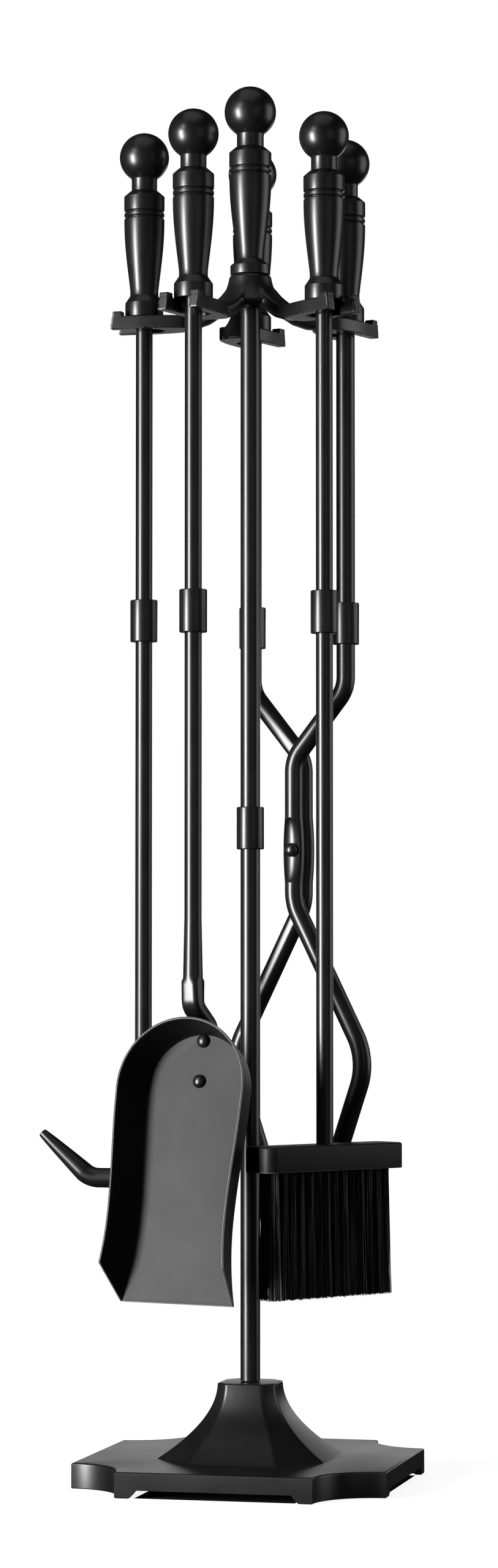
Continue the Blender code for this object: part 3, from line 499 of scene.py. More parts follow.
def makeBall(tool, neck):
    high = boxOf(tool + "_ball")[1]
    radius = radiusOf(tool + "_ball")
    foot = boxOf(tool + "_handle")[1].z
    spot = middleOf(tool + "_handle")
    place = Matrix.Translation((spot.x, spot.y, foot))
    profile = ballProfile(radius, high.z - radius - foot, neck)
    settle(finishMesh(tool + "Ball", lathe(profile, handle["sides"]), place, 40), tool, [tool + "_ball"])

for name in toolNames:
    makeHandle(name, rodSpot(name), name + "_upper_rod", handle)
makeHandle("stand", poleSpot, "handle_stud", standHandle)
print("handles and balls turned")


# ---- rods, swept along their paths by geometry nodes ----

def barTree():
    # a line of points with a "thickness" becomes a round bar with closed ends
    tree, given = startGroup("barAlongLine", {})
    thickness = addNode(tree, "GeometryNodeInputNamedAttribute", {"Name": "thickness"}, data_type="FLOAT")
    line = addNode(tree, "GeometryNodeMeshToCurve", {"Mesh": given["Geometry"]})
    ring = addNode(tree, "GeometryNodeCurvePrimitiveCircle", {"Resolution": 40, "Radius": 1})
    bar = addNode(tree, "GeometryNodeCurveToMesh", {"Curve": line, "Profile Curve": ring, "Fill Caps": True,
                                                    "Scale": thickness.outputs["Attribute"]})
    return closeGroup(tree, bar, given)

barAlongLine = barTree()

def bar(name, spots, thickness, place=Matrix()):
    # thickness is one radius for each spot
    mesh = bpy.data.meshes.new(name)
    steps = [(k, k + 1) for k in range(len(spots) - 1)]
    mesh.from_pydata([place @ Vector(spot) for spot in spots], steps, [])
    mesh.attributes.new("thickness", "FLOAT", "POINT").data.foreach_set("value", thickness)
    piece = grown(name, mesh, barAlongLine, {"Material": coat})
    bm = bmesh.new()
    bm.from_mesh(piece.data)
    bmesh.ops.remove_doubles(bm, verts=bm.verts, dist=1e-6)
    bmesh.ops.recalc_face_normals(bm, faces=bm.faces)
    bm.to_mesh(piece.data)
    bm.free()
    return piece

def makeBar(name, node, spot, body, edge=0.4 * mm):
    low, high = boxOf(node)
    radius = radiusOf(node)
    spots = [(spot.x, spot.y, z) for z in (low.z, low.z + edge, high.z - edge, high.z)]
    settle(bar(name, spots, [radius - edge, radius, radius, radius - edge]), body, [node])

def makeSleeve(node, spot, bore, body, soft=0.55 * mm):
    low, high = boxOf(node)
    outer = radiusOf(node)
    profile = [(bore, low.z), (outer - soft, low.z)] + arc(outer - soft, low.z + soft, soft, -90, 0, 4)
    profile += arc(outer - soft, high.z - soft, soft, 0, 90, 4) + [(bore, high.z)]
    place = Matrix.Translation((spot.x, spot.y, 0))
    settle(finishMesh(pieceName(node), lathe(profile, 56), place), body, [node])

def pieceName(node):
    first, *rest = node.split("_")
    return first + "".join(word.title() for word in rest)

for node in ("lower_pole", "upper_pole"):
    makeBar(pieceName(node), node, poleSpot, "stand")
makeSleeve("pole_coupling", poleSpot, radiusOf("lower_pole") + cadGap, "stand")
for name in toolNames:
    makeBar(name + "UpperRod", name + "_upper_rod", rodSpot(name), name)
    makeSleeve(name + "_coupling", rodSpot(name), rodRadius(name) + cadGap, name)
print("poles, upper rods and sleeves made")


# ---- poker ----

poker = {"taper": 34 * mm, "hookHeight": 173.6 * mm, "hookReach": 32.0 * mm, "tipOut": 61.2 * mm,
         "tipHeight": 199.8 * mm, "hookRadius": 5.75 * mm, "tipRadius": 2.45 * mm, "bend": 14 * mm}

def makePoker(look):
    low, high = boxOf("poker_lower_rod")
    radius, tip, taper = rodRadius("poker"), low.z, look["taper"]
    shaft = [(0, tip), (0.7 * mm, tip + 0.15 * mm), (1.1 * mm, tip + 0.6 * mm)]
    shaft += [(1.1 * mm + (radius - 1.1 * mm) * sin(pi / 2 * k / 14) ** 0.9, tip + 0.6 * mm + taper * k / 14)
              for k in range(1, 15)]
    shaft += [(radius, high.z - 0.4 * mm), (radius - 0.4 * mm, high.z), (0, high.z)]
    rod = finishMesh("pokerLowerRod", lathe(shaft, 40), toolPlace("poker"))

    tipSpot = Vector((look["tipOut"], 0, look["tipHeight"]))
    high = look["hookHeight"]
    path = roundedPath([(-0.6 * mm, 0, high), (look["hookReach"], 0, high), tipSpot], [look["bend"]], 14)
    start = path[-2]
    path = path[:-1] + [start.lerp(tipSpot, k / 16) for k in range(1, 17)]
    along = (tipSpot - start).normalized()
    edge = 0.35 * mm
    path[-1:] = [tipSpot - along * edge, tipSpot]
    length = (tipSpot - start).length
    sizes = [look["tipRadius"] + (look["hookRadius"] - look["tipRadius"])
             * min(1.0, (tipSpot - s).length / length) ** 0.8 for s in path]
    sizes[-1] -= edge
    hook = bar("pokerHook", path, sizes, toolPlace("poker"))
    cutOrJoin(rod, hook, "UNION")
    settle(rod, "poker", ["poker_lower_rod"])

makePoker(poker)


# ---- shovel ----

shovel = {"lipHeight": 107.6 * mm, "tilt": atan(0.2), "topInset": 11.9 * mm, "upperRivet": 254.6 * mm,
          "rivetSpacing": 23.2 * mm, "lipHalf": 36.4 * mm, "waistHalf": 30.4 * mm, "archRadius": 33.4 * mm,
          "length": 153.5 * mm, "waist": 47.0 * mm, "wallHigh": 22.0 * mm, "flare": radians(19),
          "lipSlant": 19.0 * mm, "sheet": 1.2 * mm, "bendRadius": 0.8 * mm, "tabHalfWide": 6.0 * mm,
          "tabHalfThick": 2.5 * mm, "tabAbove": 8.5 * mm, "tabStep": 12.5 * mm, "tabSwell": 50 * mm,
          "heelFlare": 0.73, "rivetHead": 3.85 * mm, "rivetShank": 2.2 * mm, "rivetBore": 2.5 * mm}

def panPlace(look):
    out = -look["topInset"] + (look["upperRivet"] - look["lipHeight"]) * tan(look["tilt"])
    across = Vector((0, 1, 0))
    up = Vector((-sin(look["tilt"]), 0, cos(look["tilt"])))
    place = Matrix((across, up, across.cross(up))).transposed().to_4x4()
    place.translation = Vector((out, 0, look["lipHeight"]))
    return toolPlace("shovel") @ place

def panHalfWidth(look, p):
    arch = look["length"] - look["archRadius"]
    if p < look["waist"]:
        return look["waistHalf"] + (look["lipHalf"] - look["waistHalf"]) * (1 - p / look["waist"]) ** 2
    share = (p - look["waist"]) / (arch - look["waist"])
    return look["waistHalf"] + (look["archRadius"] - look["waistHalf"]) * (1 - cos(pi * share)) / 2

def panOutline(look, steps=26, archSteps=40):
    # floor edge from the right lip corner over the arch to the left one: place, outward direction, height of
    # the wall's front end cut, as a share of the way up each side
    arch = look["length"] - look["archRadius"]
    right = []
    for k in range(steps + 1):
        p = arch * k / steps
        q = look["lipSlant"] + (arch - look["lipSlant"]) * k / steps
        floorSpot, rimSpot = [Vector((panHalfWidth(look, up), up, 0)) for up in (p, q)]
        right.append((floorSpot, rimSpot, Vector((1, 0, 0)), 1.0))
    over = []
    for k in range(1, archSteps):
        turn = pi * k / archSteps
        away = Vector((cos(turn), sin(turn), 0))
        spot = Vector((0, arch, 0)) + away * look["archRadius"]
        over.append((spot, spot, away, 1 - (1 - look["heelFlare"]) * sin(turn) ** 2))
    mirror = Matrix.Scale(-1, 3, (1, 0, 0))
    left = [(mirror @ low, mirror @ high, mirror @ away, flare) for low, high, away, flare in reversed(right)]
    return right + over + left

def makePan(look):
    # floor, a small rounded fold, and the leaning wall, all as one sheet that is then given its thickness
    up = look["wallHigh"]
    lean = tan(look["flare"])
    fold = look["bendRadius"]
    rows = []
    for floorSpot, rimSpot, away, flare in panOutline(look):
        row = []
        turnEnd = pi / 2 - look["flare"]
        cornerIn = fold * tan(turnEnd / 2)
        for k in range(5):
            turn = turnEnd * k / 4
            row.append(floorSpot - away * cornerIn + away * (fold * sin(turn))
                       + Vector((0, 0, fold * (1 - cos(turn)))))
        start = row[-1]
        end = rimSpot + away * (up * lean * flare) + Vector((0, 0, up))
        row += [start.lerp(end, k / 6) for k in range(1, 7)]
        rows.append(row)
    bm = bmesh.new()
    grid = [[bm.verts.new(spot) for spot in row] for row in rows]
    for one, two in zip(grid, grid[1:]):
        for a, b, c, d in zip(one, one[1:], two[1:], two):
            bm.faces.new((a, b, c, d))
    bm.faces.new([row[0] for row in grid])
    pan = finishMesh("shovelPan", bm, None)
    sheet = pan.modifiers.new("sheet", "SOLIDIFY")
    sheet.thickness = look["sheet"]
    sheet.offset = 1
    sheet.use_even_offset = True
    easeEdges(pan, 0.3 * mm, 2)
    pan.data.transform(panPlace(look))
    boreForRivets(pan, look)
    settle(pan, "shovel", ["shovel_pan"], sheetCoat)

def rivetSeat(look, number):
    p = (look["upperRivet"] - look["lipHeight"]) / cos(look["tilt"]) - look["rivetSpacing"] * (number - 1)
    return panPlace(look) @ Matrix.Translation((0, p, 0))

def boreForRivets(piece, look):
    for number in (1, 2):
        bore(piece, look["rivetBore"], -12 * mm, 6 * mm, rivetSeat(look, number), 24)

def makeShovelRod(look):
    high = boxOf("shovel_lower_rod")[1]
    local = toolPlace("shovel").inverted() @ panPlace(look)
    back = -look["sheet"] - cadGap - look["tabHalfThick"]
    upper = (look["upperRivet"] - look["lipHeight"]) / cos(look["tilt"])
    foot = local @ Vector((0, upper - look["rivetSpacing"] - 7 * mm, back))
    head = local @ Vector((0, upper + look["tabAbove"], back))
    bendTop = Vector((0, 0, head.z + look["tabStep"]))
    path = roundedPath([foot, head, bendTop, Vector((0, 0, high.z))], (7 * mm, 8 * mm), 14)
    path[-1:] = [Vector((0, 0, bendTop.z + k * mm)) for k in range(6, 52, 2)] + [Vector((0, 0, high.z))]
    radius = rodRadius("shovel")

    def section(spot):
        slim = max(0.0, min(1.0, (spot.z - bendTop.z) / look["tabSwell"]))
        full = max(0.0, min(1.0, (spot.z - head.z + 2 * mm) / (look["tabStep"] + 22 * mm))) ** 0.5
        return (look["tabHalfWide"] + (radius - look["tabHalfWide"]) * slim,
                look["tabHalfThick"] + (look["tabHalfWide"] - look["tabHalfThick"]) * full)

    rod = finishMesh("shovelLowerRod", sweep(path, section, (0, 1, 0), 48), toolPlace("shovel"), 11)
    boreForRivets(rod, look)
    settle(rod, "shovel", ["shovel_lower_rod"])

def rivetTree():
    # puts one domed rivet, the object it is given, on each seat of a two-point mesh
    tree, given = startGroup("rivetsOnSeats", {"Rivet": "Object", "Lean": "Vector"})
    shape = addNode(tree, "GeometryNodeObjectInfo", {"Object": given["Rivet"]}).outputs["Geometry"]
    place = addNode(tree, "GeometryNodeInstanceOnPoints", {"Points": given["Geometry"], "Instance": shape,
                                                           "Rotation": given["Lean"]})
    return closeGroup(tree, place, given)

def makeRivets(look):
    back = -look["sheet"] - cadGap - look["tabHalfThick"]
    tail = 2 * back + look["sheet"]
    shank, size = look["rivetShank"], look["rivetHead"]
    dome = [(size * cos(radians(a)), 0.8 * mm + 2.6 * mm * sin(radians(a))) for a in range(0, 90, 9)]
    profile = [(0, tail - 1.2 * mm), (size - 0.7 * mm, tail - 1.2 * mm), (size - 0.2 * mm, tail - 0.6 * mm),
               (size - 0.2 * mm, tail - 0.2 * mm), (shank, tail - 0.2 * mm), (shank, cadGap),
               (size - 0.2 * mm, cadGap)]
    profile += dome + [(0, 3.4 * mm)]
    master = finishMesh("rivetMaster", lathe(profile, 32))
    seats = bpy.data.meshes.new("seats")
    seats.from_pydata([rivetSeat(look, number).translation for number in (1, 2)], [], [])
    inputs = {"Rivet": master, "Lean": tuple(panPlace(look).to_euler()), "Material": coat}
    rivets = grown("shovelRivets", seats, rivetTree(), inputs)
    bpy.data.objects.remove(master)
    settle(rivets, "shovel", ["shovel_rivet_1", "shovel_rivet_2"])

makePan(shovel)
makeShovelRod(shovel)
makeRivets(shovel)
print("poker and shovel made")


# ---- brush ----

brush = {"corner": 6.0 * mm, "soft": 1.3 * mm, "mouthSoft": 0.35 * mm, "socketDeep": 9 * mm,
         "bundleLong": 89 * mm, "bundleDeep": 14 * mm, "columns": 14, "rows": 3, "strands": 78,
         "strandRadius": 0.24 * mm, "tuftRadius": 2.35 * mm, "unevenness": 1.6 * mm, "splay": 0.03, "seed": 7}

def roundedRectangle(length, depth, corner, steps=8):
    outline = []
    for sx, sy, start in ((1, 1, 0), (-1, 1, 90), (-1, -1, 180), (1, -1, 270)):
        for k in range(steps + 1):
            turn = radians(start + 90 * k / steps)
            outline.append((sx * (length / 2 - corner) + corner * cos(turn),
                            sy * (depth / 2 - corner) + corner * sin(turn)))
    return outline

def holderSize():
    # the holder lies askew to X and Y, so its own length and depth are worked out from its box
    low, high = boxOf("brush_holder")
    turn = outwardTurn("brush")
    c, s = abs(cos(turn)), abs(sin(turn))
    lose = 2 * brush["corner"] * (c + s - 1)
    wide, deep = high.x - low.x + lose, high.y - low.y + lose
    return (deep * c - wide * s) / (c * c - s * s), (wide * c - deep * s) / (c * c - s * s)

def makeHolder(look):
    low, high = boxOf("brush_holder")
    length, depth = holderSize()
    soft = look["soft"]
    mouth = look["mouthSoft"]
    turns = [radians(a) for a in range(90, -1, -15)]
    steps = [(soft * (1 - cos(turn)), high.z - soft + soft * sin(turn)) for turn in turns]
    turns = [radians(a) for a in range(0, 91, 30)]
    steps += [(mouth * (1 - cos(turn)), low.z + mouth - mouth * sin(turn)) for turn in turns]
    rings = []
    for inset, z in steps:
        outline = roundedRectangle(depth - 2 * inset, length - 2 * inset, look["corner"] - inset)
        rings.append([(x, y, z) for x, y in outline])
    place = toolPlace("brush")
    holder = finishMesh("brushHolder", loft(list(reversed(rings))), place)
    bore(holder, rodRadius("brush") + cadGap, high.z - look["socketDeep"], high.z + mm, place, 40)
    settle(holder, "brush", ["brush_holder"], sheetCoat)

def bristleTree():
    # scatters strands round each tuft's root and hangs them down, each a little astray and unequal in length
    tree, given = startGroup("bristleTufts", {
        "Strands": "Int", "Tuft Radius": "Float", "Strand Radius": "Float", "Length": "Float",
        "Unevenness": "Float", "Splay": "Float", "Seed": "Int"})

    def maths(operation, first, second=0.5):
        return addNode(tree, "ShaderNodeMath", {0: first, 1: second}, operation=operation)

    def times(first, second):
        return maths("MULTIPLY", first, second)

    def vector(x, y, z=0):
        return addNode(tree, "ShaderNodeCombineXYZ", {"X": x, "Y": y, "Z": z})

    def randomly(number, kind="FLOAT"):
        seed = maths("ADD", given["Seed"], number)
        return addNode(tree, "FunctionNodeRandomValue", {"Seed": seed}, data_type=kind)

    # even spread over the tuft's disc
    angle = times(randomly(1).outputs[1], 2 * pi)
    reach = times(maths("SQRT", randomly(2).outputs[1]), given["Tuft Radius"])
    x, y = [times(maths(operation, angle), reach) for operation in ("COSINE", "SINE")]
    copies = addNode(tree, "GeometryNodeDuplicateElements", {"Geometry": given["Geometry"],
                                                             "Amount": given["Strands"]}, domain="POINT")
    roots = addNode(tree, "GeometryNodeSetPosition", {"Geometry": copies, "Offset": vector(x, y)})

    # one strand: a thin four-sided rod, narrowing to its tip
    strand = addNode(tree, "GeometryNodeMeshCone", {
        "Vertices": 4, "Side Segments": 3, "Depth": 1, "Radius Top": given["Strand Radius"],
        "Radius Bottom": times(given["Strand Radius"], 0.7)})
    hang = addNode(tree, "GeometryNodeTransform", {"Geometry": strand, "Translation": (0, 0, -1)})

    # strands lean outwards from their tuft's middle, plus a little at random
    leanX, leanY = [times(maths("DIVIDE", part, given["Tuft Radius"]), given["Splay"]) for part in (y, x)]
    astray = feed(tree, randomly(3, "FLOAT_VECTOR"), {0: (-0.012, -0.012, 0), 1: (0.012, 0.012, 3.1)})
    lean = addNode(tree, "ShaderNodeVectorMath", {0: vector(leanX, times(leanY, -1)), 1: astray})
    long = maths("SUBTRACT", given["Length"], times(randomly(4).outputs[1], given["Unevenness"]))
    place = addNode(tree, "GeometryNodeInstanceOnPoints", {
        "Points": roots, "Instance": hang, "Rotation": lean, "Scale": vector(1, 1, long)})
    return closeGroup(tree, place, given)

def makeBristles(look):
    low, high = boxOf("brush_bristles")
    length, depth = look["bundleLong"], look["bundleDeep"]
    spacing = (length - 2 * look["tuftRadius"]) / (look["columns"] - 1)
    rowSpacing = (depth - 2 * look["tuftRadius"]) / (look["rows"] - 1)
    place = toolPlace("brush")
    roots = []
    for column in range(look["columns"]):
        for row in range(look["rows"]):
            y = -length / 2 + look["tuftRadius"] + column * spacing
            x = -depth / 2 + look["tuftRadius"] + row * rowSpacing
            roots.append(place @ Vector((x, y, high.z)))
    mesh = bpy.data.meshes.new("tuftRoots")
    mesh.from_pydata(roots, [], [])
    bristles = grown("brushBristles", mesh, bristleTree(), {
        "Strands": look["strands"], "Tuft Radius": look["tuftRadius"], "Strand Radius": look["strandRadius"],
        "Length": high.z - low.z, "Unevenness": look["unevenness"], "Splay": look["splay"],
        "Seed": look["seed"], "Material": bristleAndShadeBlack}, 80)
    settle(bristles, "brush", ["brush_bristles"], bristleAndShadeBlack)
    print("bristles:", len(bristles.data.polygons), "faces")

makeHolder(brush)
makeBar("brushLowerRod", "brush_lower_rod", rodSpot("brush"), "brush")
makeBristles(brush)
print("brush made")


# ---- tongs ----

tongs = {"pivot": 366 * mm, "elbowTop": 461 * mm, "middleTop": 420 * mm, "middleBottom": 334 * mm,
         "jawElbow": 242 * mm, "jawHalf": 46 * mm, "jawTip": 130 * mm, "tipHalf": 6.1 * mm,
         "bends": (20 * mm, 22 * mm, 32 * mm, 38 * mm), "scoopLong": 19.4 * mm, "scoopHalf": 6.6 * mm,
         "scoopDeep": 3.8 * mm, "scoopSeat": 2.5 * mm, "swell": 0.2, "shank": 2.3 * mm}

def tongsPlace(look):
    middle = (rodSpot("tongs_front") + rodSpot("tongs_back")) / 2
    return (Matrix.Translation((middle.x, middle.y, look["pivot"]))
            @ Matrix.Rotation(outwardTurn("tongs_front"), 4, "Z"))

def makeTongsArm(tool, side, front, look):
    half = (rodSpot("tongs_front") - rodSpot("tongs_back")).length / 2
    radius = rodRadius(tool)
    joint = boxOf(tool + "_arm")[1].z
    offset = -front * (radius + cadGap / 2)
    corners = [(0, side * half, joint), (0, side * half, look["elbowTop"]), (offset, 0, look["middleTop"]),
               (offset, 0, look["middleBottom"]), (0, side * look["jawHalf"], look["jawElbow"]),
               (0, side * look["tipHalf"], look["jawTip"])]
    path = roundedPath([Vector(c) - Vector((0, 0, look["pivot"])) for c in corners], look["bends"], 16)
    reach = look["scoopLong"]
    swell = [Vector((offset, 0, reach * (1.04 - 2.08 * k / 25))) for k in range(26)]
    path = [p for p in path if p.z > reach * 1.05] + swell + [p for p in path if p.z < -reach * 1.05]

    def fit(spot):
        away = -front * spot.x
        if look["jawElbow"] < spot.z + look["pivot"] < look["middleTop"] + 14 * mm:
            away = max(away, cadGap / 2 - max(0.0, abs(spot.y) - 9 * mm))
        share = max(0.0, 1 - (spot.z / reach) ** 2)
        return Vector((-front * away, spot.y * (1 + look["swell"] * share), spot.z))

    place = tongsPlace(look)
    arm = finishMesh(pieceName(tool + "_arm"), sweep(path, lambda spot: (radius, radius), (1, 0, 0), 48, fit),
                     place, 30)
    ball = bmesh.new()
    bmesh.ops.create_uvsphere(ball, u_segments=64, v_segments=48, radius=1.0)
    turned = Matrix.Rotation(radians(3), 4, "Z")
    size = Matrix.Diagonal((look["scoopDeep"], look["scoopHalf"], reach, 1)) @ turned
    spot = Matrix.Translation((-front * (2 * radius + cadGap / 2 + 0.2 * mm), 0, 0))
    cutOrJoin(arm, finishMesh("scoop", ball, place @ spot @ size), "DIFFERENCE")
    bore(arm, look["shank"] + cadGap, -20 * mm, 20 * mm, place @ Matrix.Rotation(pi / 2, 4, "Y"))
    settle(arm, tool, [tool + "_arm"])

def makeTongsRivet(look):
    seat = 2 * rodRadius("tongs_front") + cadGap / 2 - look["scoopSeat"] + cadGap
    turns = [radians(a) for a in range(0, 90, 9)]
    dome = [(4.1 * mm * cos(turn), seat + 0.6 * mm + 3.0 * mm * sin(turn)) for turn in turns]
    head = [(3.9 * mm, seat)] + dome + [(0, seat + 3.6 * mm)]
    shank = look["shank"]
    profile = [(r, -z) for r, z in reversed(head)] + [(shank, -seat), (shank, seat)] + head
    settle(finishMesh("tongsRivet", lathe(profile, 40), tongsPlace(look) @ Matrix.Rotation(pi / 2, 4, "Y")),
           "tongs_pivot", ["tongs_rivet"])

makeTongsArm("tongs_front", -1, 1, tongs)
makeTongsArm("tongs_back", 1, -1, tongs)
makeTongsRivet(tongs)
print("tongs made")


# ---- base casting ----

base = {"half": 91.5 * mm, "notch": 34.7 * mm, "high": 14.6 * mm, "wall": 4 * mm, "edge": 1.2 * mm,
        "archHigh": 4.6 * mm, "footLong": 8 * mm, "archSlant": 4 * mm, "top": 57.2 * mm, "topHalf": 17.1 * mm,
        "flare": 32 * mm, "flat": 0.625, "footFlat": 0.53, "pedestalWall": 5 * mm, "bolt": 3.3 * mm}

def notchedSquare(half, notch, centre, steps=20):
    # the quarter-round bites stay centred on the plate's own corners when the outline is drawn smaller
    outline = []
    for quarter in range(4):
        turn = Matrix.Rotation(quarter * pi / 2, 2)
        reach = sqrt(notch ** 2 - (centre - half) ** 2)
        first, last = atan2(-reach, -(centre - half)), atan2(-(centre - half), -reach)
        if first > 0:
            first -= 2 * pi
        if last > 0:
            last -= 2 * pi
        for k in range(steps + 1):
            bite = first + (last - first) * k / steps
            outline.append(tuple(turn @ Vector((centre + notch * cos(bite), centre + notch * sin(bite)))))
    return outline

def pedestalHalf(look, z):
    return look["topHalf"] + look["flare"] * ((look["top"] - z) / (look["top"] - look["high"])) ** 2

def softEight(half, flat, z, soft, steps=3):
    # eight sides with slightly rounded corners
    corners = [(half, flat), (flat, half), (-flat, half), (-half, flat),
               (-half, -flat), (-flat, -half), (flat, -half), (half, -flat)]
    ring = []
    for i, corner in enumerate(corners):
        before, here, after = Vector(corners[i - 1]), Vector(corner), Vector(corners[(i + 1) % 8])
        start = here + (before - here).normalized() * soft
        end = here + (after - here).normalized() * soft
        for k in range(steps + 1):
            t = k / steps
            spot = start * (1 - t) ** 2 + here * (2 * t * (1 - t)) + end * t ** 2
            ring.append((spot.x, spot.y, z))
    return ring

def pedestalRing(look, size, z, soft):
    spread = min(1.0, (size - look["topHalf"]) / look["flare"])
    share = look["flat"] + (look["footFlat"] - look["flat"]) * spread
    return softEight(size, size * share, z, soft)

def makeBase(look):
    half, notch, high, edge = look["half"], look["notch"], look["high"], look["edge"]
    rings = [notchedSquare(half - 0.5 * mm, notch + 0.5 * mm, half), notchedSquare(half, notch, half)]
    heights = [0, 0.5 * mm]
    for a in range(0, 91, 15):
        inset = edge * (1 - cos(radians(a)))
        rings.append(notchedSquare(half - inset, notch + inset, half))
        heights.append(high - edge + edge * sin(radians(a)))
    plate = finishMesh("baseCasting", loft([[(x, y, z) for x, y in ring] for ring, z in zip(rings, heights)]))

    topSoft = 1.1 * mm
    rows = []
    for a in range(90, -1, -15):
        inset = topSoft * (1 - cos(radians(a)))
        size = look["topHalf"] - inset
        rows.append(pedestalRing(look, size, look["top"] - topSoft + topSoft * sin(radians(a)), 1.2 * mm))
    span = look["top"] - topSoft - high
    for k in range(1, 29):
        z = look["top"] - topSoft - span * k / 28
        size = pedestalHalf(look, z)
        rows.append(pedestalRing(look, size, z, 1.4 * mm))
    size = pedestalHalf(look, high)
    rows.append(pedestalRing(look, size, high - 2 * mm, 1.4 * mm))
    cutOrJoin(plate, finishMesh("pedestal", loft(rows)), "UNION")

    inner = notchedSquare(half - look["wall"], notch + look["wall"], half)
    cutOrJoin(plate, finishMesh("cavity", prism(inner, -2 * mm, high - look["wall"])), "DIFFERENCE")
    roof = look["top"] - 2 * look["pedestalWall"]
    rows = []
    foot = high - look["wall"] - mm
    for k in range(13):
        z = foot + (roof - foot) * k / 12
        size = pedestalHalf(look, max(z, high)) - look["pedestalWall"]
        rows.append(pedestalRing(look, size, z, 1.0 * mm))
    cutOrJoin(plate, finishMesh("core", loft(rows)), "DIFFERENCE")
    bore(plate, look["bolt"], roof - mm, look["top"] + mm)

    side = half - notch
    low, top = side - look["footLong"], side - look["footLong"] - look["archSlant"]
    arch = [(-low, -mm), (low, -mm)]
    arch += [(top + look["archSlant"] * (1 - sin(radians(a))) ** 1.3, look["archHigh"] * sin(radians(a)))
             for a in range(0, 91, 15)]
    arch += [(-x, z) for x, z in reversed(arch[2:])]
    for number in range(2):
        slab = loft([[(x, -half * 1.2, z) for x, z in arch], [(x, half * 1.2, z) for x, z in arch]])
        cutter = finishMesh("arch", slab, Matrix.Rotation(number * pi / 2, 4, "Z"))
        cutOrJoin(plate, cutter, "DIFFERENCE")
    plate.data.transform(Matrix.Translation((poleSpot.x, poleSpot.y, 0)))
    settle(plate, "stand", ["base_casting"], castCoat)

makeBase(base)
print("base made")


# ---- hub ----

hub = {"under": 682.5 * mm, "top": 701.2 * mm, "boss": 12 * mm, "webHalf": 5.6 * mm,
       "plateBottom": 670.8 * mm, "plateThick": 7.6 * mm, "tooth": 2.8 * mm, "outer": 13.2 * mm,
       "slotHalf": 6.6 * mm, "mouthHalf": 7.4 * mm, "slotCentre": 5.5 * mm, "prong": 17.6 * mm,
       "slope": 1.7 * mm, "toothLong": 5.7 * mm, "root": 27 * mm,
       "rootHalf": 5.4 * mm, "bore": 3.3 * mm, "voxel": 0.6 * mm, "smoothing": 2, "blendReach": 38 * mm,
       "blending": 16}

def webOutline(look):
    top = look["plateBottom"] + look["plateThick"]
    return [(2 * mm, look["under"]), (10 * mm, look["under"]), (17 * mm, 678.6 * mm), (25 * mm, 673.6 * mm),
            (33 * mm, look["plateBottom"] + 0.4 * mm), (43 * mm, look["plateBottom"]), (43 * mm, top),
            (35 * mm, 679.6 * mm), (28 * mm, 682 * mm), (22 * mm, 685.4 * mm), (17.4 * mm, 689 * mm),
            (13.6 * mm, 693.4 * mm), (11 * mm, 695.6 * mm), (2 * mm, 695.6 * mm)]

def forkOutline(look, tip, steps=16):
    half = [(tip, look["mouthHalf"])]
    for k in range(steps + 1):
        turn = radians(90 + 90 * k / steps)
        half.append((-look["slotCentre"] + look["slotHalf"] * cos(turn), look["slotHalf"] * sin(turn)))
    inner = half + [(u, -v) for u, v in reversed(half[:-1])]
    sweepStart = 2 * mm
    span = look["root"] + sweepStart
    outer = [(tip, -look["outer"])]
    for k in range(steps + 1):
        share = sin(pi / 2 * k / steps)
        widening = (look["outer"] - look["rootHalf"]) * sqrt(max(0.0, 1 - share ** 2))
        outer.append((sweepStart - span * share, -look["rootHalf"] - widening))
    return inner + outer + [(u, -v) for u, v in reversed(outer)]

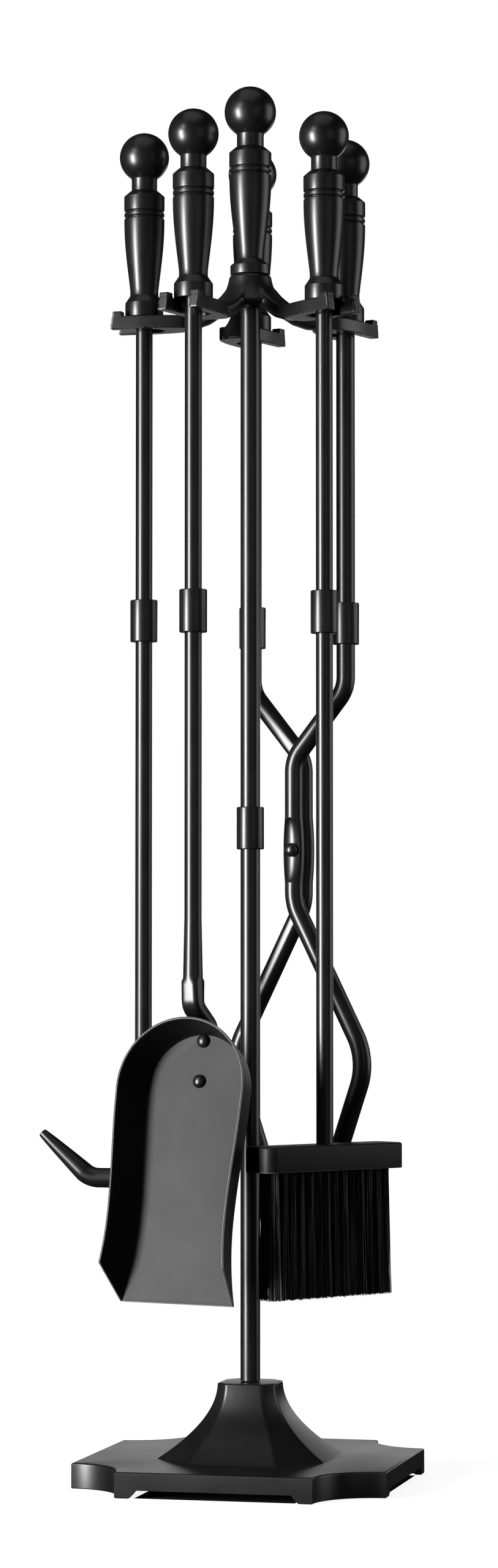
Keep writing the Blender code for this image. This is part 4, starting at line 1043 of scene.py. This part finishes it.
def makeHub(look):
    low = look["under"]
    boss = [(0, low), (14.6 * mm, low), (17.4 * mm, low + 0.6 * mm), (18.4 * mm, low + 1.7 * mm),
            (18.5 * mm, 685.3 * mm), (17.3 * mm, 686.8 * mm), (15.9 * mm, 689.2 * mm), (14.6 * mm, 692 * mm),
            (13.5 * mm, 695 * mm), (look["boss"] + 0.7 * mm, 698 * mm),
            (look["boss"] + 0.2 * mm, look["top"] - 0.5 * mm), (look["boss"] - 0.3 * mm, look["top"]),
            (0, look["top"])]
    forms = [finishMesh("boss", lathe(boss, 64))]
    for tool in toolNames:
        turn = outwardTurn(tool)
        spot = rodSpot(tool) - poleSpot
        root = spot - Vector((cos(turn), sin(turn))) * (look["root"] - 3 * mm)
        heading = atan2(root.y, root.x)
        stretch = root.length / (43 * mm) if tool.startswith("tongs") else 1.0
        web = loft([[(u * stretch, -look["webHalf"], z) for u, z in webOutline(look)],
                    [(u * stretch, look["webHalf"], z) for u, z in webOutline(look)]])
        form = finishMesh("web", web, Matrix.Rotation(heading, 4, "Z"))
        forms.append(easeEdges(form, 2.6 * mm, 4))

        full = look["plateThick"] + look["tooth"]
        bottom, plateTop = look["plateBottom"], look["plateBottom"] + look["plateThick"]
        lean = look["slope"] * look["plateThick"] / full
        place = Matrix.Translation((spot.x, spot.y, 0)) @ Matrix.Rotation(turn, 4, "Z")
        plate = loft([[(u, v, bottom) for u, v in forkOutline(look, look["prong"])],
                      [(u, v, plateTop) for u, v in forkOutline(look, look["prong"] - lean)]])
        forms.append(finishMesh("plate", plate, place))
        highTip = look["prong"] - look["slope"]
        heel, inside, outside = highTip - look["toothLong"], look["mouthHalf"], look["outer"]
        for side in (1, -1):
            rows = []
            for tip, z in ((look["prong"] - lean - 0.02 * mm, plateTop - 0.6 * mm), (highTip, bottom + full)):
                rows.append([(heel, side * inside, z), (tip, side * inside, z), (tip, side * outside, z),
                             (heel, side * outside, z)])
            forms.append(finishMesh("tooth", loft(rows), place))
    casting = gathered("hubCasting", forms)

    # cast edges and fillets: one skin over the whole, eased a little
    skin = casting.modifiers.new("skin", "REMESH")
    skin.mode = "VOXEL"
    skin.voxel_size = look["voxel"]
    applied(casting)
    middle = casting.vertex_groups.new(name="middle")
    for vertex in casting.data.vertices:
        reach = Vector(vertex.co[:2]).length
        middle.add([vertex.index], max(0.0, min(1.0, (look["blendReach"] - reach) / (12 * mm))), "REPLACE")
    for label, rounds, group in (("ease", look["smoothing"], ""), ("blend", look["blending"], "middle")):
        ease = casting.modifiers.new(label, "SMOOTH")
        ease.factor = 0.5
        ease.iterations = rounds
        ease.vertex_group = group
    applied(casting, 60)
    casting.vertex_groups.clear()
    bore(casting, look["bore"], low - mm, look["top"] + mm)
    casting.data.transform(Matrix.Translation((poleSpot.x, poleSpot.y, 0)))
    print("hub:", len(casting.data.polygons), "faces")
    settle(casting, "stand", ["hub"], castCoat)

makeHub(hub)
print("hub made")


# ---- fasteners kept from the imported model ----

for node in ("pole_bolt", "pole_washer", "handle_stud"):
    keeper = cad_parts[node]
    keeper.data.materials.clear()
    keeper.data.materials.append(platedSteel)

print("whole set made")
